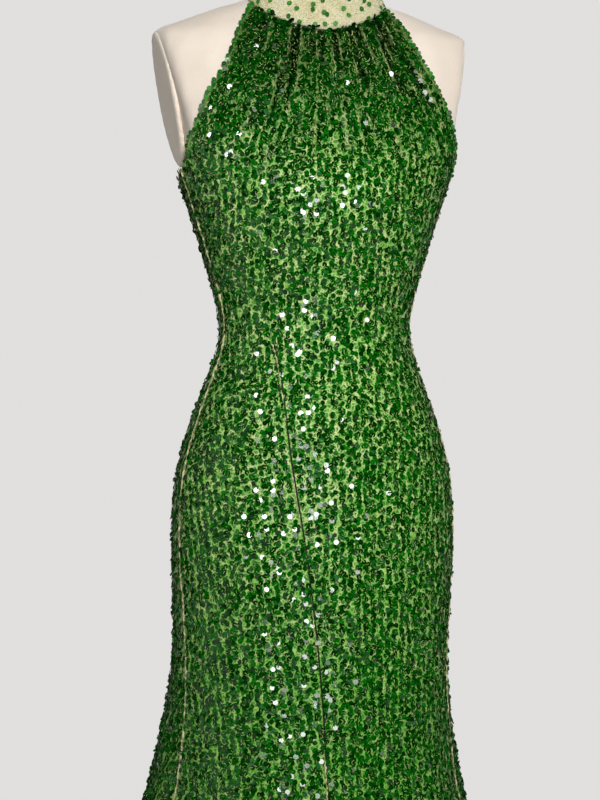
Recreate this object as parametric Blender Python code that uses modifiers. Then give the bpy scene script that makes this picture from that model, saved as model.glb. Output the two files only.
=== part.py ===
"""Halter evening gown on a limbless dress form.

The gown has a stand collar, a bodice front gathered into it, a seam that slants from
under the bust to the hem, a low back with a concealed zip, and a trumpet skirt.
Metres, +Z up. The wearer faces -Y, so the wearer's left is +X. The origin is on the
floor under the middle of the whole part.
"""
import math

import bmesh
import bpy
from mathutils import Matrix, Vector

# --- Cloth ------------------------------------------------------------------
WALL = 0.0018            # thickness of the sequined net with its lining
EASE = 0.0042            # from the form to the inside of the cloth
SEAM_GAP = 0.0004        # between two panels at a seam
SLANT_GAP = 0.0006       # the same, measured level across the slanting seam

# --- Where the pieces end -----------------------------------------------------
HEM = 0.015              # clear of the floor
SIDE_TOP = 1.255         # underarm end of the side seams
SLANT_TOP = 1.165        # where the slanting seam leaves the right side seam
SLANT_TIP = 0.0016       # width of the front_right panel at that end
SIDE_SEAM_Y = -0.020     # both side seams hang in this plane
BACK_LEVEL = 0.904       # the back panels' rows are level up to here

# --- Grid of the cloth ----------------------------------------------------------
LEVELS = (HEM, 0.080, 0.150, 0.220, 0.290, 0.355, 0.415, 0.470, 0.520, 0.570, 0.620,
          0.684, 0.745, 0.800, 0.855, BACK_LEVEL, 0.952, 1.001, 1.050, 1.080, 1.110, 1.140,
          SLANT_TOP, 1.172, 1.215, SIDE_TOP)
FRONT_COLUMNS = 24
HALTER_COLUMNS = 48
HALTER_ROWS = 12
SIDE_COLUMNS = 14
BACK_COLUMNS = 18
COLLAR_COLUMNS = 44
COLLAR_ROWS = 3
COLUMN_WIDTH = 0.006     # narrowest column where a panel tapers to a point
SLOPE_STEP = 0.002       # between the points that give the cloth's slope

# --- Sizes of the dress form, by height ------------------------------------------
# height, half width, front and back from the axis, y of the widest place, squareness
FORM = (
    (0.700, 0.1500, 0.0920, 0.1120, 0.010, 2.10),
    (0.720, 0.1580, 0.1000, 0.1200, 0.010, 2.10),
    (0.757, 0.1640, 0.1040, 0.1260, 0.009, 2.10),
    (0.806, 0.1680, 0.1055, 0.1280, 0.008, 2.10),
    (0.855, 0.1675, 0.1060, 0.1250, 0.007, 2.10),
    (0.904, 0.1606, 0.1040, 0.1160, 0.005, 2.10),
    (0.952, 0.1458, 0.1000, 0.1040, 0.003, 2.05),
    (1.001, 0.1273, 0.0915, 0.0880, 0.000, 2.00),
    (1.050, 0.1100, 0.0840, 0.0760, 0.000, 2.00),
    (1.099, 0.1158, 0.0900, 0.0810, 0.000, 2.05),
    (1.148, 0.1300, 0.1010, 0.0930, 0.000, 2.10),
    (1.197, 0.1442, 0.1110, 0.1030, 0.000, 2.15),
    (1.233, 0.1575, 0.1140, 0.1080, 0.000, 2.20),
    (1.270, 0.1685, 0.1100, 0.1100, 0.000, 2.30),
    (1.300, 0.1800, 0.1040, 0.1110, 0.006, 2.35),
    (1.335, 0.1900, 0.0960, 0.1090, 0.016, 2.30),
    (1.370, 0.1990, 0.0850, 0.1040, 0.025, 2.20),
    (1.400, 0.2030, 0.0720, 0.0970, 0.031, 2.05),
    (1.416, 0.2040, 0.0630, 0.0910, 0.032, 1.90),
    (1.430, 0.1720, 0.0575, 0.0840, 0.030, 1.75),
    (1.442, 0.1390, 0.0560, 0.0780, 0.024, 1.65),
    (1.455, 0.1045, 0.0550, 0.0720, 0.018, 1.62),
    (1.466, 0.0790, 0.0545, 0.0670, 0.012, 1.78),
    (1.478, 0.0685, 0.0540, 0.0640, 0.006, 1.95),
    (1.505, 0.0640, 0.0530, 0.0610, 0.003, 2.00),
    (1.520, 0.0625, 0.0525, 0.0595, 0.003, 2.00),
    (1.525, 0.0595, 0.0495, 0.0565, 0.003, 2.00),
)
FORM_SIDES = 36
BUST_ANGLE = math.radians(25.0)
BUST_HEIGHT = 1.218
BUST_RISE = 0.009
BUST_REACH = math.radians(26.0)
BUST_REACH_Z = 0.085
BUST_BRIDGE = 0.75       # the cloth spans the middle at this share of the rise

# --- Sizes of the skirt's inside, by height, below where it lies on the form --------
SKIRT = (
    (HEM, 0.3600, 0.2700, 0.4400, 0.085, 2.0),
    (0.150, 0.3140, 0.2250, 0.3850, 0.082, 2.0),
    (0.300, 0.2580, 0.1740, 0.3180, 0.076, 2.0),
    (0.420, 0.2170, 0.1400, 0.2680, 0.068, 2.0),
    (0.513, 0.1910, 0.1205, 0.2280, 0.058, 2.0),
    (0.562, 0.1815, 0.1150, 0.2050, 0.046, 2.0),
    (0.611, 0.1725, 0.1120, 0.1820, 0.034, 2.0),
    (0.684, 0.1670, 0.1095, 0.1520, 0.018, 2.05),
    (0.757, 0.1710, 0.1100, 0.1365, 0.010, 2.1),
)
FITTED_FROM = 0.777      # above this height the gown lies on the form
WIDEST_SHARE = 0.9999    # a given x or y stays this share inside a section

# --- Seams and edges ------------------------------------------------------------
# height and x of the slanting seam
SLANT_SEAM = (
    (HEM, -0.0030),
    (0.530, -0.0105),
    (0.666, -0.0180),
    (0.763, -0.0290),
    (0.816, -0.0360),
    (0.888, -0.0485),
    (0.960, -0.0560),
    (1.030, -0.0605),
    (1.073, -0.0740),
    (1.110, -0.0960),
    (1.140, -0.1175),
    (SLANT_TOP, -0.1372),
)
# height and x of the armhole edge
ARMHOLE = (
    (1.2680, 0.1640),
    (1.2905, 0.1620),
    (1.3135, 0.1525),
    (1.3480, 0.1375),
    (1.3720, 0.1225),
    (1.4070, 0.1055),
    (1.4265, 0.0965),
    (1.4525, 0.0790),
)
# share of the way from the side seam to the centre back, and height of the back edge
BACK_EDGE = (
    (0.0, SIDE_TOP),
    (0.14, 1.232),
    (0.35, 1.175),
    (0.60, 1.108),
    (0.80, 1.062),
    (1.0, 1.045),
)
# degrees round the neck, lower and upper edge of the collar; the first and last rows
# mirror their neighbours, so that both edges run level at the centre front and back
COLLAR_EDGES = (
    (-22.0, 1.4270, 1.479),
    (0.0, 1.4190, 1.476),
    (22.0, 1.4270, 1.479),
    (40.0, 1.4375, 1.485),
    (60.0, 1.4525, 1.493),
    (75.0, 1.4620, 1.499),
    (90.0, 1.4700, 1.505),
    (135.0, 1.4785, 1.512),
    (180.0, 1.4820, 1.514),
    (225.0, 1.4785, 1.512),
)
COLLAR_EASE = 0.0065     # round the neck at the collar's upper edge

# --- Folds ---------------------------------------------------------------------
# long gathers under the collar: share across the bodice, depth (ridges are positive),
# half width as a share, and how far down they run (1 is the underarm)
GATHERS = (
    (0.09, 0.0020, 0.030, 0.55),
    (0.145, -0.0022, 0.028, 0.50),
    (0.223, -0.0040, 0.034, 0.85),
    (0.268, 0.0030, 0.026, 0.75),
    (0.311, -0.0028, 0.022, 0.45),
    (0.345, 0.0016, 0.020, 0.60),
    (0.385, -0.0036, 0.028, 0.80),
    (0.445, 0.0020, 0.028, 0.55),
    (0.500, -0.0032, 0.030, 0.90),
    (0.560, 0.0028, 0.026, 0.70),
    (0.610, -0.0022, 0.024, 0.50),
    (0.655, -0.0038, 0.026, 0.75),
    (0.705, 0.0030, 0.026, 0.75),
    (0.760, -0.0036, 0.030, 0.65),
    (0.815, 0.0028, 0.028, 0.85),
    (0.870, -0.0022, 0.026, 0.55),
    (0.940, -0.0024, 0.030, 0.95),
)
FINE_GATHERS = 24        # small gathers between them, two columns each
FINE_GATHER = 0.0009
FINE_REACH = 0.42
GATHER_LIFT = 0.0020     # fullness under the collar
GATHER_START = 0.10      # how far below the seam the gathers reach their depth
GATHER_FADE = 0.7        # how early they die out
# soft flutes of the skirt: degrees round it, depth at the hem, half width in degrees,
# and the height where each one starts
FLUTES = (
    (16.0, 0.009, 17.0, 0.42),
    (38.0, 0.014, 18.0, 0.52),
    (60.0, -0.015, 16.0, 0.66),
    (79.0, 0.018, 16.0, 0.60),
    (98.0, -0.018, 16.0, 0.62),
    (118.0, 0.022, 17.0, 0.58),
    (138.0, -0.020, 16.0, 0.56),
    (158.0, 0.024, 17.0, 0.60),
    (180.0, -0.016, 15.0, 0.58),
)
FLUTE_GROWTH = 1.35      # how the flutes deepen towards the hem

# --- Arm plates ------------------------------------------------------------------
PLATE_CENTRE = (0.1710, 0.030, 1.340)
PLATE_TALL = 0.164
PLATE_DEEP = 0.098
PLATE_THICK = 0.007
PLATE_LEAN = math.radians(11.0)    # its lower end comes in
PLATE_TURN = math.radians(8.0)     # its lower end comes forward
PLATE_EDGE = 0.0022
PLATE_SIDES = 36
CUT_SIZE = 0.30          # of the blocks that cut the arm ends flat

# --- Neck cap, pole and base -----------------------------------------------------
JOINT_GAP = 0.0003
NECK_TOP = FORM[-1][0]
NECK_MIDDLE = FORM[-1][4]
NECK_CAP = ((0.0, 0.0180), (0.0200, 0.0165), (0.0380, 0.0120), (0.0490, 0.0065),
            (0.0500, 0.0035), (0.0490, 0.0), (0.0, 0.0))
POLE_RADIUS = 0.014
POLE_SIDES = 24
FORM_BOTTOM = FORM[0][0]
BASE_PROFILE = ((0.0, 0.0460), (0.0190, 0.0460), (0.0210, 0.0440), (0.0225, 0.0260),
                (0.0300, 0.0200), (0.1850, 0.0160), (0.1970, 0.0130), (0.2000, 0.0090),
                (0.2000, 0.0020), (0.1980, 0.0), (0.0, 0.0))
BASE_SIDES = 48
SHARP = math.radians(45.0)   # edges above this angle are not shaded smooth
MERGE = 0.00001          # points this near are one

# --- Zip -------------------------------------------------------------------------
ZIP_HEIGHT = 1.026       # middle of the slider
ZIP_LIFT = 0.0006        # slider off the cloth
ZIP_STRETCH = (0.008, -0.020)       # above and below the slider: the cloth that it lies along
SLIDER = (0.0060, 0.0022, 0.0090)   # width, thickness, height
SLIDER_EDGE = 0.0006
BAIL_WIRE = 0.0005       # radius of the arch that holds the pull
BAIL_REACH = 0.0050      # from the slider's back to the arch
BAIL_FOOT = 0.0032       # from the slider's middle to each foot of the arch
BAIL_SINK = 0.0004       # of its feet into the slider
BAIL_STEPS = 8
PULL_AXIS = (0.0036, -0.0010)       # outwards and up from the slider's middle
PULL_THICK = 0.0008
PULL_BAR = 0.00045       # half of the bar that the pull turns on
PULL_HOLE = (0.0030, 0.0026)
PULL_LENGTH = 0.0200
PULL_WIDTHS = (0.0024, 0.0033, 0.0036)   # half widths at the top, the waist and the foot
PULL_WAIST = 0.45        # share of its length
PULL_STEPS = 6

# --- Where the form's axis stands: the part's box is centred on the origin ----------
AXIS_Y = -0.0858

# --- Colours -----------------------------------------------------------------------
# name: colour, roughness, metallic
FINISHES = {
    "sequined_net": ((0.03, 0.19, 0.04, 1.0), 0.38, 0.0),
    "collar_net": ((0.62, 0.66, 0.42, 1.0), 0.5, 0.0),
    "form_cloth": ((0.78, 0.71, 0.60, 1.0), 0.85, 0.0),
    "cap_wood": ((0.45, 0.30, 0.17, 1.0), 0.45, 0.0),
    "stand_metal": ((0.10, 0.10, 0.105, 1.0), 0.4, 1.0),
    "zip_metal": ((0.10, 0.22, 0.12, 1.0), 0.3, 0.8),
}


def clear_scene():
    """Start from an empty scene."""
    for thing in list(bpy.data.objects):
        bpy.data.objects.remove(thing, do_unlink=True)


def make_collection(name):
    """A collection in the scene."""
    group = bpy.data.collections.new(name)
    bpy.context.scene.collection.children.link(group)
    return group


def finish(piece, finish_name):
    """Give a piece a material of its own."""
    colour, roughness, metallic = FINISHES[finish_name]
    material = bpy.data.materials.new(piece.name)
    material.use_nodes = True
    shader = material.node_tree.nodes["Principled BSDF"]
    shader.inputs["Base Color"].default_value = colour
    shader.inputs["Roughness"].default_value = roughness
    shader.inputs["Metallic"].default_value = metallic
    material.diffuse_color = colour
    piece.data.materials.clear()
    piece.data.materials.append(material)


def move_to(piece, group):
    """Keep an object in one collection only."""
    for other in list(piece.users_collection):
        other.objects.unlink(piece)
    group.objects.link(piece)


def place(piece, group, root, finish_name):
    """Put a piece in the collection, under the root, with its material."""
    move_to(piece, group)
    piece.parent = root
    finish(piece, finish_name)
    return piece


def keep_as_cutter(piece, cutters):
    """Hide a guide or a cutter in the cutters' collection."""
    move_to(piece, cutters)
    piece.hide_render = True
    piece.display_type = "WIRE"


# --- Sections ------------------------------------------------------------------------

def row_at(rows, key):
    """The values of a table at a key, on a smooth curve through its rows."""
    key = min(max(key, rows[0][0]), rows[-1][0])
    low = 0
    while low < len(rows) - 2 and rows[low + 1][0] <= key:
        low += 1
    high = low + 1
    span = rows[high][0] - rows[low][0]
    part = (key - rows[low][0]) / span
    values = []
    for column in range(1, len(rows[0])):
        start, end = rows[low][column], rows[high][column]
        slopes = []
        for index in (low, high):
            before, after = max(index - 1, 0), min(index + 1, len(rows) - 1)
            rise = rows[after][column] - rows[before][column]
            slopes.append(rise / (rows[after][0] - rows[before][0]) * span)
        square, cube = part * part, part ** 3
        values.append((2 * cube - 3 * square + 1) * start + (cube - 2 * square + part) * slopes[0]
                      + (3 * square - 2 * cube) * end + (cube - square) * slopes[1])
    return values


def cloth_sections():
    """The inside of the gown by height: the skirt's rows, then the form's with ease."""
    fitted = []
    for height, wide, front, back, middle, square in FORM:
        if height > FITTED_FROM:
            fitted.append((height, wide + EASE, front + EASE, back + EASE, middle, square))
    return SKIRT + tuple(fitted)


CLOTH = cloth_sections()


def hump(distance, reach):
    """A soft rise that is 1 in the middle and 0 at its reach."""
    if abs(distance) >= reach:
        return 0.0
    return math.cos(0.5 * math.pi * distance / reach) ** 2


def bust(angle, height):
    """How far the bust stands out from the plain section."""
    across = max(hump(abs(angle) - BUST_ANGLE, BUST_REACH), BUST_BRIDGE * hump(angle, BUST_ANGLE))
    return BUST_RISE * across * hump(height - BUST_HEIGHT, BUST_REACH_Z)


def section_point(rows, angle, height, out=0.0):
    """A point of the section at a height: angle 0 is the front, a quarter turn is +X."""
    wide, front, back, middle, square = row_at(rows, height)
    deep = front + middle if math.cos(angle) > 0 else back - middle
    level = abs(math.cos(angle) / deep) ** square + abs(math.sin(angle) / wide) ** square
    radius = level ** (-1.0 / square) + bust(angle, height) + out
    return Vector((radius * math.sin(angle), middle - radius * math.cos(angle), height))


def angle_at_x(height, x):
    """The angle on the front of the cloth's section where it has this x."""
    wide, front, back, middle, square = row_at(CLOTH, height)
    share = min(abs(x) / wide, WIDEST_SHARE)
    depth = (front + middle) * (1.0 - share ** square) ** (1.0 / square)
    return math.atan2(x, depth)


def side_angle(height):
    """The angle of the left side seam, which hangs in one plane."""
    wide, front, back, middle, square = row_at(CLOTH, height)
    ahead = middle - SIDE_SEAM_Y
    share = min(abs(ahead) / (front + middle), WIDEST_SHARE)
    return math.atan2(wide * (1.0 - share ** square) ** (1.0 / square), ahead)


def armhole_angle(height):
    """The angle of the left armhole edge, which starts at the top of the side seam."""
    if height >= ARMHOLE[0][0]:
        return angle_at_x(height, row_at(ARMHOLE, height)[0])
    part = (height - SIDE_TOP) / (ARMHOLE[0][0] - SIDE_TOP)
    low, high = side_angle(SIDE_TOP), angle_at_x(*ARMHOLE[0])
    return low + (high - low) * part


def half_gap(angle, height, gap):
    """Half of a seam's gap as an angle."""
    middle = row_at(CLOTH, height)[3]
    point = section_point(CLOTH, angle, height)
    return 0.5 * gap / math.hypot(point.x, point.y - middle)


# --- Folds -----------------------------------------------------------------------------

def flutes(angle, height):
    """How far the skirt's flutes move the cloth out, the same on both sides."""
    degrees = abs(math.degrees(angle))
    total = 0.0
    for centre, depth, reach, start in FLUTES:
        if height >= start:
            continue
        growth = ((start - height) / (start - HEM)) ** FLUTE_GROWTH
        near = hump(degrees - centre, reach) + hump(360.0 - degrees - centre, reach)
        total += depth * growth * near
    return total


def gathers(across, down):
    """How far the gathers move the bodice: across is 0 to 1, down is 0 at the collar."""
    total = GATHER_LIFT * (1.0 - down) ** 2
    for centre, depth, reach, length in GATHERS:
        if down < length:
            total += depth * hump(across - centre, reach) * (1.0 - down / length) ** GATHER_FADE
    if down < FINE_REACH:
        wave = math.cos(2.0 * math.pi * FINE_GATHERS * across)
        total += FINE_GATHER * wave * (1.0 - down / FINE_REACH)
    return total * min(down / GATHER_START, 1.0)


def cloth_point(angle, height, fold):
    """The inner and outer point of the cloth, folded out by the given distance."""
    before, after = (section_point(CLOTH, angle + side * SLOPE_STEP, height) for side in (-1, 1))
    below, above = (section_point(CLOTH, angle, height + side * SLOPE_STEP) for side in (-1, 1))
    normal = (after - before).cross(above - below).normalized()
    inner = section_point(CLOTH, angle, height, fold + flutes(angle, height))
    return inner, inner + normal * WALL


# --- Panels: rows of (inner, outer) points, from the hem up --------------------------------

def level_row(left, right, height, columns):
    """A level row of cloth points between two angles."""
    row = []
    for column in range(columns + 1):
        angle = left + (right - left) * column / columns
        row.append(cloth_point(angle, height, 0.0))
    return row


def slant_angle(height):
    """The angle of the slanting seam, which ends just in front of the right side seam."""
    tip = -side_angle(height) + 2.0 * half_gap(0.5 * math.pi, height, SLANT_TIP)
    return max(angle_at_x(height, row_at(SLANT_SEAM, height)[0]), tip)


def front_main_rows():
    """The wearer's left skirt front, the waist and the gathered bodice front."""
    rows = []
    for height in LEVELS:
        right = side_angle(height)
        right -= half_gap(right, height, SEAM_GAP)
        if height <= SLANT_TOP:
            left = slant_angle(height)
            left += half_gap(left, height, SLANT_GAP)
        else:
            left = -right
        rows.append(level_row(left, right, height, FRONT_COLUMNS))
    for step in range(1, HALTER_ROWS + 1):
        rows.append(halter_row(step / HALTER_ROWS))
    return rows


def halter_row(share):
    """A row of the bodice above the underarm; share 1 lies along the collar seam."""
    edge_height = SIDE_TOP + share * (ARMHOLE[-1][0] - SIDE_TOP)
    edge = armhole_angle(edge_height)
    row = []
    for column in range(HALTER_COLUMNS + 1):
        across = column / HALTER_COLUMNS
        neck = (2.0 * across - 1.0) * armhole_angle(ARMHOLE[-1][0])
        seam = row_at(COLLAR_EDGES, abs(math.degrees(neck)))[0] - SEAM_GAP
        height = SIDE_TOP + share * (seam - SIDE_TOP)
        turn = (2.0 * across - 1.0) * edge
        row.append(cloth_point(turn, height, gathers(across, 1.0 - share)))
    return row


def front_right_rows():
    """The wearer's right side front, from the hem to a point at the side seam."""
    rows = []
    for height in LEVELS:
        if height > SLANT_TOP:
            break
        left = -side_angle(height)
        left += half_gap(left, height, SEAM_GAP)
        right = slant_angle(height)
        right -= half_gap(right, height, SLANT_GAP)
        width = (right - left) * row_at(CLOTH, height)[0]
        columns = max(1, min(SIDE_COLUMNS, round(width / COLUMN_WIDTH)))
        rows.append(level_row(left, right, height, columns))
    return rows


def back_rows(side):
    """A back panel; side is 1 for the wearer's left, -1 for the right."""
    rows = []
    for level in LEVELS:
        start = side_angle(level)
        start += half_gap(start, level, SEAM_GAP)
        row = []
        for column in range(BACK_COLUMNS + 1):
            across = column / BACK_COLUMNS
            height = level
            if level > BACK_LEVEL:
                edge = row_at(BACK_EDGE, across)[0]
                share = (level - BACK_LEVEL) / (SIDE_TOP - BACK_LEVEL)
                height = BACK_LEVEL + share * (edge - BACK_LEVEL)
            end = math.pi - half_gap(math.pi, height, SEAM_GAP)
            angle = start + (end - start) * across
            row.append(cloth_point(side * angle, height, 0.0))
        if side < 0:
            row.reverse()
        rows.append(row)
    return rows


def collar_rows():
    """The stand collar, from its seam up, round the neck from the centre back."""
    rows = []
    reach = math.pi - half_gap(math.pi, COLLAR_EDGES[-2][1], 2.0 * SEAM_GAP)
    for step in range(COLLAR_ROWS + 1):
        share = step / COLLAR_ROWS
        row = []
        for column in range(COLLAR_COLUMNS + 1):
            angle = (2.0 * column / COLLAR_COLUMNS - 1.0) * reach
            low, high = row_at(COLLAR_EDGES, abs(math.degrees(angle)))
            foot, foot_out = cloth_point(angle, low, 0.0)
            top = section_point(FORM, angle, high, COLLAR_EASE)
            top_out = section_point(FORM, angle, high, COLLAR_EASE + WALL)
            row.append((foot.lerp(top, share), foot_out.lerp(top_out, share)))
        rows.append(row)
    return rows


# --- Solids ------------------------------------------------------------------------------

def strip(lower, upper):
    """Faces between two rows of point numbers, which may differ in length."""
    faces = []
    i, j = 0, 0
    while i < len(lower) - 1 or j < len(upper) - 1:
        next_low = (i + 1) / (len(lower) - 1)
        next_high = (j + 1) / (len(upper) - 1)
        if abs(next_low - next_high) < 1e-6:
            faces.append((lower[i], lower[i + 1], upper[j + 1], upper[j]))
            i, j = i + 1, j + 1
        elif next_low < next_high:
            faces.append((lower[i], lower[i + 1], upper[j]))
            i += 1
        else:
            faces.append((lower[i], upper[j + 1], upper[j]))
            j += 1
    return faces


def add_mesh(name, points, faces):
    """An object from points and faces, shaded smooth but for its sharp edges."""
    mesh = bpy.data.meshes.new(name)
    shape = bmesh.new()
    corners = [shape.verts.new(point) for point in points]
    for face in faces:
        shape.faces.new([corners[index] for index in face])
    bmesh.ops.recalc_face_normals(shape, faces=shape.faces)
    shape.to_mesh(mesh)
    shape.free()
    mesh.shade_smooth()
    mesh.set_sharp_from_angle(angle=SHARP)
    piece = bpy.data.objects.new(name, mesh)
    bpy.context.scene.collection.objects.link(piece)
    return piece


def wall(name, rows):
    """A closed wall of cloth, lofted through rows of inner and outer points.

    The outer points lie along the whole gown's normals and not along the panel's own,
    so that two panels keep the gap between them all through a seam.
    """
    points, inner, outer = [], [], []
    for row in rows:
        inner.append([])
        outer.append([])
        for inside, outside in row:
            inner[-1].append(len(points))
            points.append(inside)
            outer[-1].append(len(points))
            points.append(outside)
    faces = []
    for low in range(len(rows) - 1):
        faces += strip(outer[low], outer[low + 1])
        faces += [tuple(reversed(face)) for face in strip(inner[low], inner[low + 1])]
        for side in (0, -1):
            faces.append((inner[low][side], outer[low][side],
                          outer[low + 1][side], inner[low + 1][side]))
    for end in (0, -1):
        for column in range(len(rows[end]) - 1):
            faces.append((inner[end][column], inner[end][column + 1],
                          outer[end][column + 1], outer[end][column]))
    return add_mesh(name, points, faces)


def lofted_torso():
    """The form's body through its sections, closed flat at the hips and the neck."""
    heights = [row[0] for row in FORM]
    points, faces = [], []
    for height in heights:
        for side in range(FORM_SIDES):
            points.append(section_point(FORM, 2.0 * math.pi * side / FORM_SIDES, height))
    for ring in range(len(heights) - 1):
        for side in range(FORM_SIDES):
            after = (side + 1) % FORM_SIDES
            low, high = ring * FORM_SIDES, (ring + 1) * FORM_SIDES
            faces.append((low + side, low + after, high + after, high + side))
    last = (len(heights) - 1) * FORM_SIDES
    faces.append(tuple(reversed(range(FORM_SIDES))))
    faces.append(tuple(range(last, last + FORM_SIDES)))
    return add_mesh("form_torso", points, faces)


def plate_frame(side):
    """The arm plate's place: local +Z points out of the arm end."""
    x, y, z = PLATE_CENTRE
    outward = Matrix.Rotation(side * (0.5 * math.pi + PLATE_LEAN), 4, "Y")
    turn = Matrix.Rotation(side * PLATE_TURN, 4, "X")
    return Matrix.Translation((side * x, y, z)) @ turn @ outward


def cut_arm_ends(torso, cutters):
    """Cut the torso flat where the arm plates lie."""
    for side, name in ((-1, "cut_right"), (1, "cut_left")):
        bpy.ops.mesh.primitive_cube_add(size=CUT_SIZE)
        cutter = bpy.context.object
        cutter.name = name
        cutter.matrix_world = plate_frame(side) @ Matrix.Translation((0.0, 0.0, 0.5 * CUT_SIZE))
        keep_as_cutter(cutter, cutters)
        cut = torso.modifiers.new(name, "BOOLEAN")
        cut.operation = "DIFFERENCE"
        cut.solver = "EXACT"
        cut.object = cutter
        cutter.parent = torso.parent


def arm_plate(name, side):
    """An oval plate on the arm end."""
    bpy.ops.mesh.primitive_cylinder_add(vertices=PLATE_SIDES, radius=0.5, depth=PLATE_THICK)
    plate = bpy.context.object
    plate.name = name
    plate.data.transform(Matrix.Diagonal((PLATE_TALL, PLATE_DEEP, 1.0, 1.0)))
    stand_off = Matrix.Translation((0.0, 0.0, 0.5 * PLATE_THICK + JOINT_GAP))
    plate.matrix_world = plate_frame(side) @ stand_off
    edge = plate.modifiers.new("edge", "BEVEL")
    edge.width = PLATE_EDGE
    edge.segments = 2
    plate.data.shade_smooth()
    plate.data.set_sharp_from_angle(angle=SHARP)
    return plate


def turned(name, profile, sides, bottom):
    """A turned piece: its profile runs from the top down its outer side."""
    mesh = bpy.data.meshes.new(name)
    points = [(radius, 0.0, height) for radius, height in profile]
    mesh.from_pydata(points, [(i, i + 1) for i in range(len(points) - 1)], [])
    piece = bpy.data.objects.new(name, mesh)
    bpy.context.scene.collection.objects.link(piece)
    screw = piece.modifiers.new("turn", "SCREW")
    screw.steps = sides
    screw.render_steps = sides
    screw.use_merge_vertices = True
    screw.merge_threshold = MERGE
    piece.location.z = bottom
    return piece


def pole():
    """The pole from the base's socket to the form."""
    bottom = BASE_PROFILE[0][1] + JOINT_GAP
    top = FORM_BOTTOM - JOINT_GAP
    bpy.ops.mesh.primitive_cylinder_add(vertices=POLE_SIDES, radius=POLE_RADIUS, depth=top - bottom)
    piece = bpy.context.object
    piece.name = "stand_pole"
    piece.location.z = 0.5 * (top + bottom)
    piece.data.shade_smooth()
    piece.data.set_sharp_from_angle(angle=SHARP)
    return piece


# --- Zip -------------------------------------------------------------------------------------

def zip_frame():
    """The slider's place on the centre back: local +X out of the cloth, +Z up along it."""
    outer = cloth_point(math.pi, ZIP_HEIGHT, 0.0)[1]
    above, below = (cloth_point(math.pi, ZIP_HEIGHT + rise, 0.0)[1] for rise in ZIP_STRETCH)
    up = (above - below).normalized()
    across = Vector((-1.0, 0.0, 0.0))
    outward = across.cross(up)
    frame = Matrix((outward, across, up)).transposed().to_4x4()
    return Matrix.Translation(outer + outward * ZIP_LIFT) @ frame


def wire(name, points, radius):
    """A round wire through points, as a closed mesh."""
    line = bpy.data.curves.new(name, "CURVE")
    line.dimensions = "3D"
    line.bevel_depth = radius
    line.bevel_resolution = 2
    line.use_fill_caps = True
    path = line.splines.new("POLY")
    path.points.add(len(points) - 1)
    for knot, point in zip(path.points, points):
        knot.co = (*point, 1.0)
    guide = bpy.data.objects.new(name, line)
    bpy.context.scene.collection.objects.link(guide)
    evaluated = guide.evaluated_get(bpy.context.evaluated_depsgraph_get())
    mesh = bpy.data.meshes.new_from_object(evaluated)
    shape = bmesh.new()
    shape.from_mesh(mesh)
    bmesh.ops.remove_doubles(shape, verts=shape.verts, dist=MERGE)
    shape.to_mesh(mesh)
    shape.free()
    made = bpy.data.objects.new(name, mesh)
    made.matrix_world = guide.matrix_world
    bpy.data.objects.remove(guide, do_unlink=True)
    bpy.context.scene.collection.objects.link(made)
    return made


def zip_slider(cutters):
    """The slider: a small block with the arch that holds the pull."""
    width, thick, tall = SLIDER
    bpy.ops.mesh.primitive_cube_add(size=1.0)
    block = bpy.context.object
    block.name = "zip_slider"
    block.data.transform(Matrix.Diagonal((thick, width, tall, 1.0)))
    block.data.transform(Matrix.Translation((0.5 * thick, 0.0, 0.0)))
    edge = block.modifiers.new("edge", "BEVEL")
    edge.width = SLIDER_EDGE
    edge.segments = 2
    foot = thick - BAIL_SINK
    arch = []
    for step in range(BAIL_STEPS + 1):
        turn = math.pi * step / BAIL_STEPS
        arch.append((foot + (BAIL_REACH - foot) * math.sin(turn), 0.0, BAIL_FOOT * math.cos(turn)))
    bail = wire("zip_bail", arch, BAIL_WIRE)
    join = block.modifiers.new("bail", "BOOLEAN")
    join.operation = "UNION"
    join.solver = "EXACT"
    join.object = bail
    keep_as_cutter(bail, cutters)
    block.matrix_world = zip_frame()
    bail.matrix_world = zip_frame()
    return block, bail


def outline(curve, points):
    """Add a closed outline to a flat curve."""
    path = curve.splines.new("POLY")
    path.use_cyclic_u = True
    path.points.add(len(points) - 1)
    for knot, point in zip(path.points, points):
        knot.co = (*point, 0.0, 1.0)


def zip_pull():
    """The pull tab, hung by the bar at its top; its origin is on that bar's axis."""
    top, middle, foot = PULL_WIDTHS
    hole_wide, hole_tall = PULL_HOLE
    flat = bpy.data.curves.new("zip_pull", "CURVE")
    flat.dimensions = "2D"
    flat.fill_mode = "BOTH"
    flat.extrude = 0.5 * PULL_THICK
    half = [(top, PULL_BAR), (top, -hole_tall - PULL_BAR), (middle, -PULL_WAIST * PULL_LENGTH)]
    for step in range(PULL_STEPS + 1):
        turn = 0.5 * math.pi * step / PULL_STEPS
        half.append((foot * math.cos(turn), -PULL_LENGTH + foot * (1.0 - math.sin(turn))))
    mirrored = [(-x, y) for x, y in reversed(half[:-1])]
    outline(flat, half + mirrored)
    x, low = 0.5 * hole_wide, -PULL_BAR - hole_tall
    outline(flat, [(-x, -PULL_BAR), (-x, low), (x, low), (x, -PULL_BAR)])
    piece = bpy.data.objects.new("zip_pull", flat)
    bpy.context.scene.collection.objects.link(piece)
    out, up = PULL_AXIS
    stand = Matrix(((0.0, 0.0, 1.0), (1.0, 0.0, 0.0), (0.0, 1.0, 0.0))).to_4x4()
    piece.matrix_world = zip_frame() @ Matrix.Translation((out, 0.0, up)) @ stand
    return piece


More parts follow.
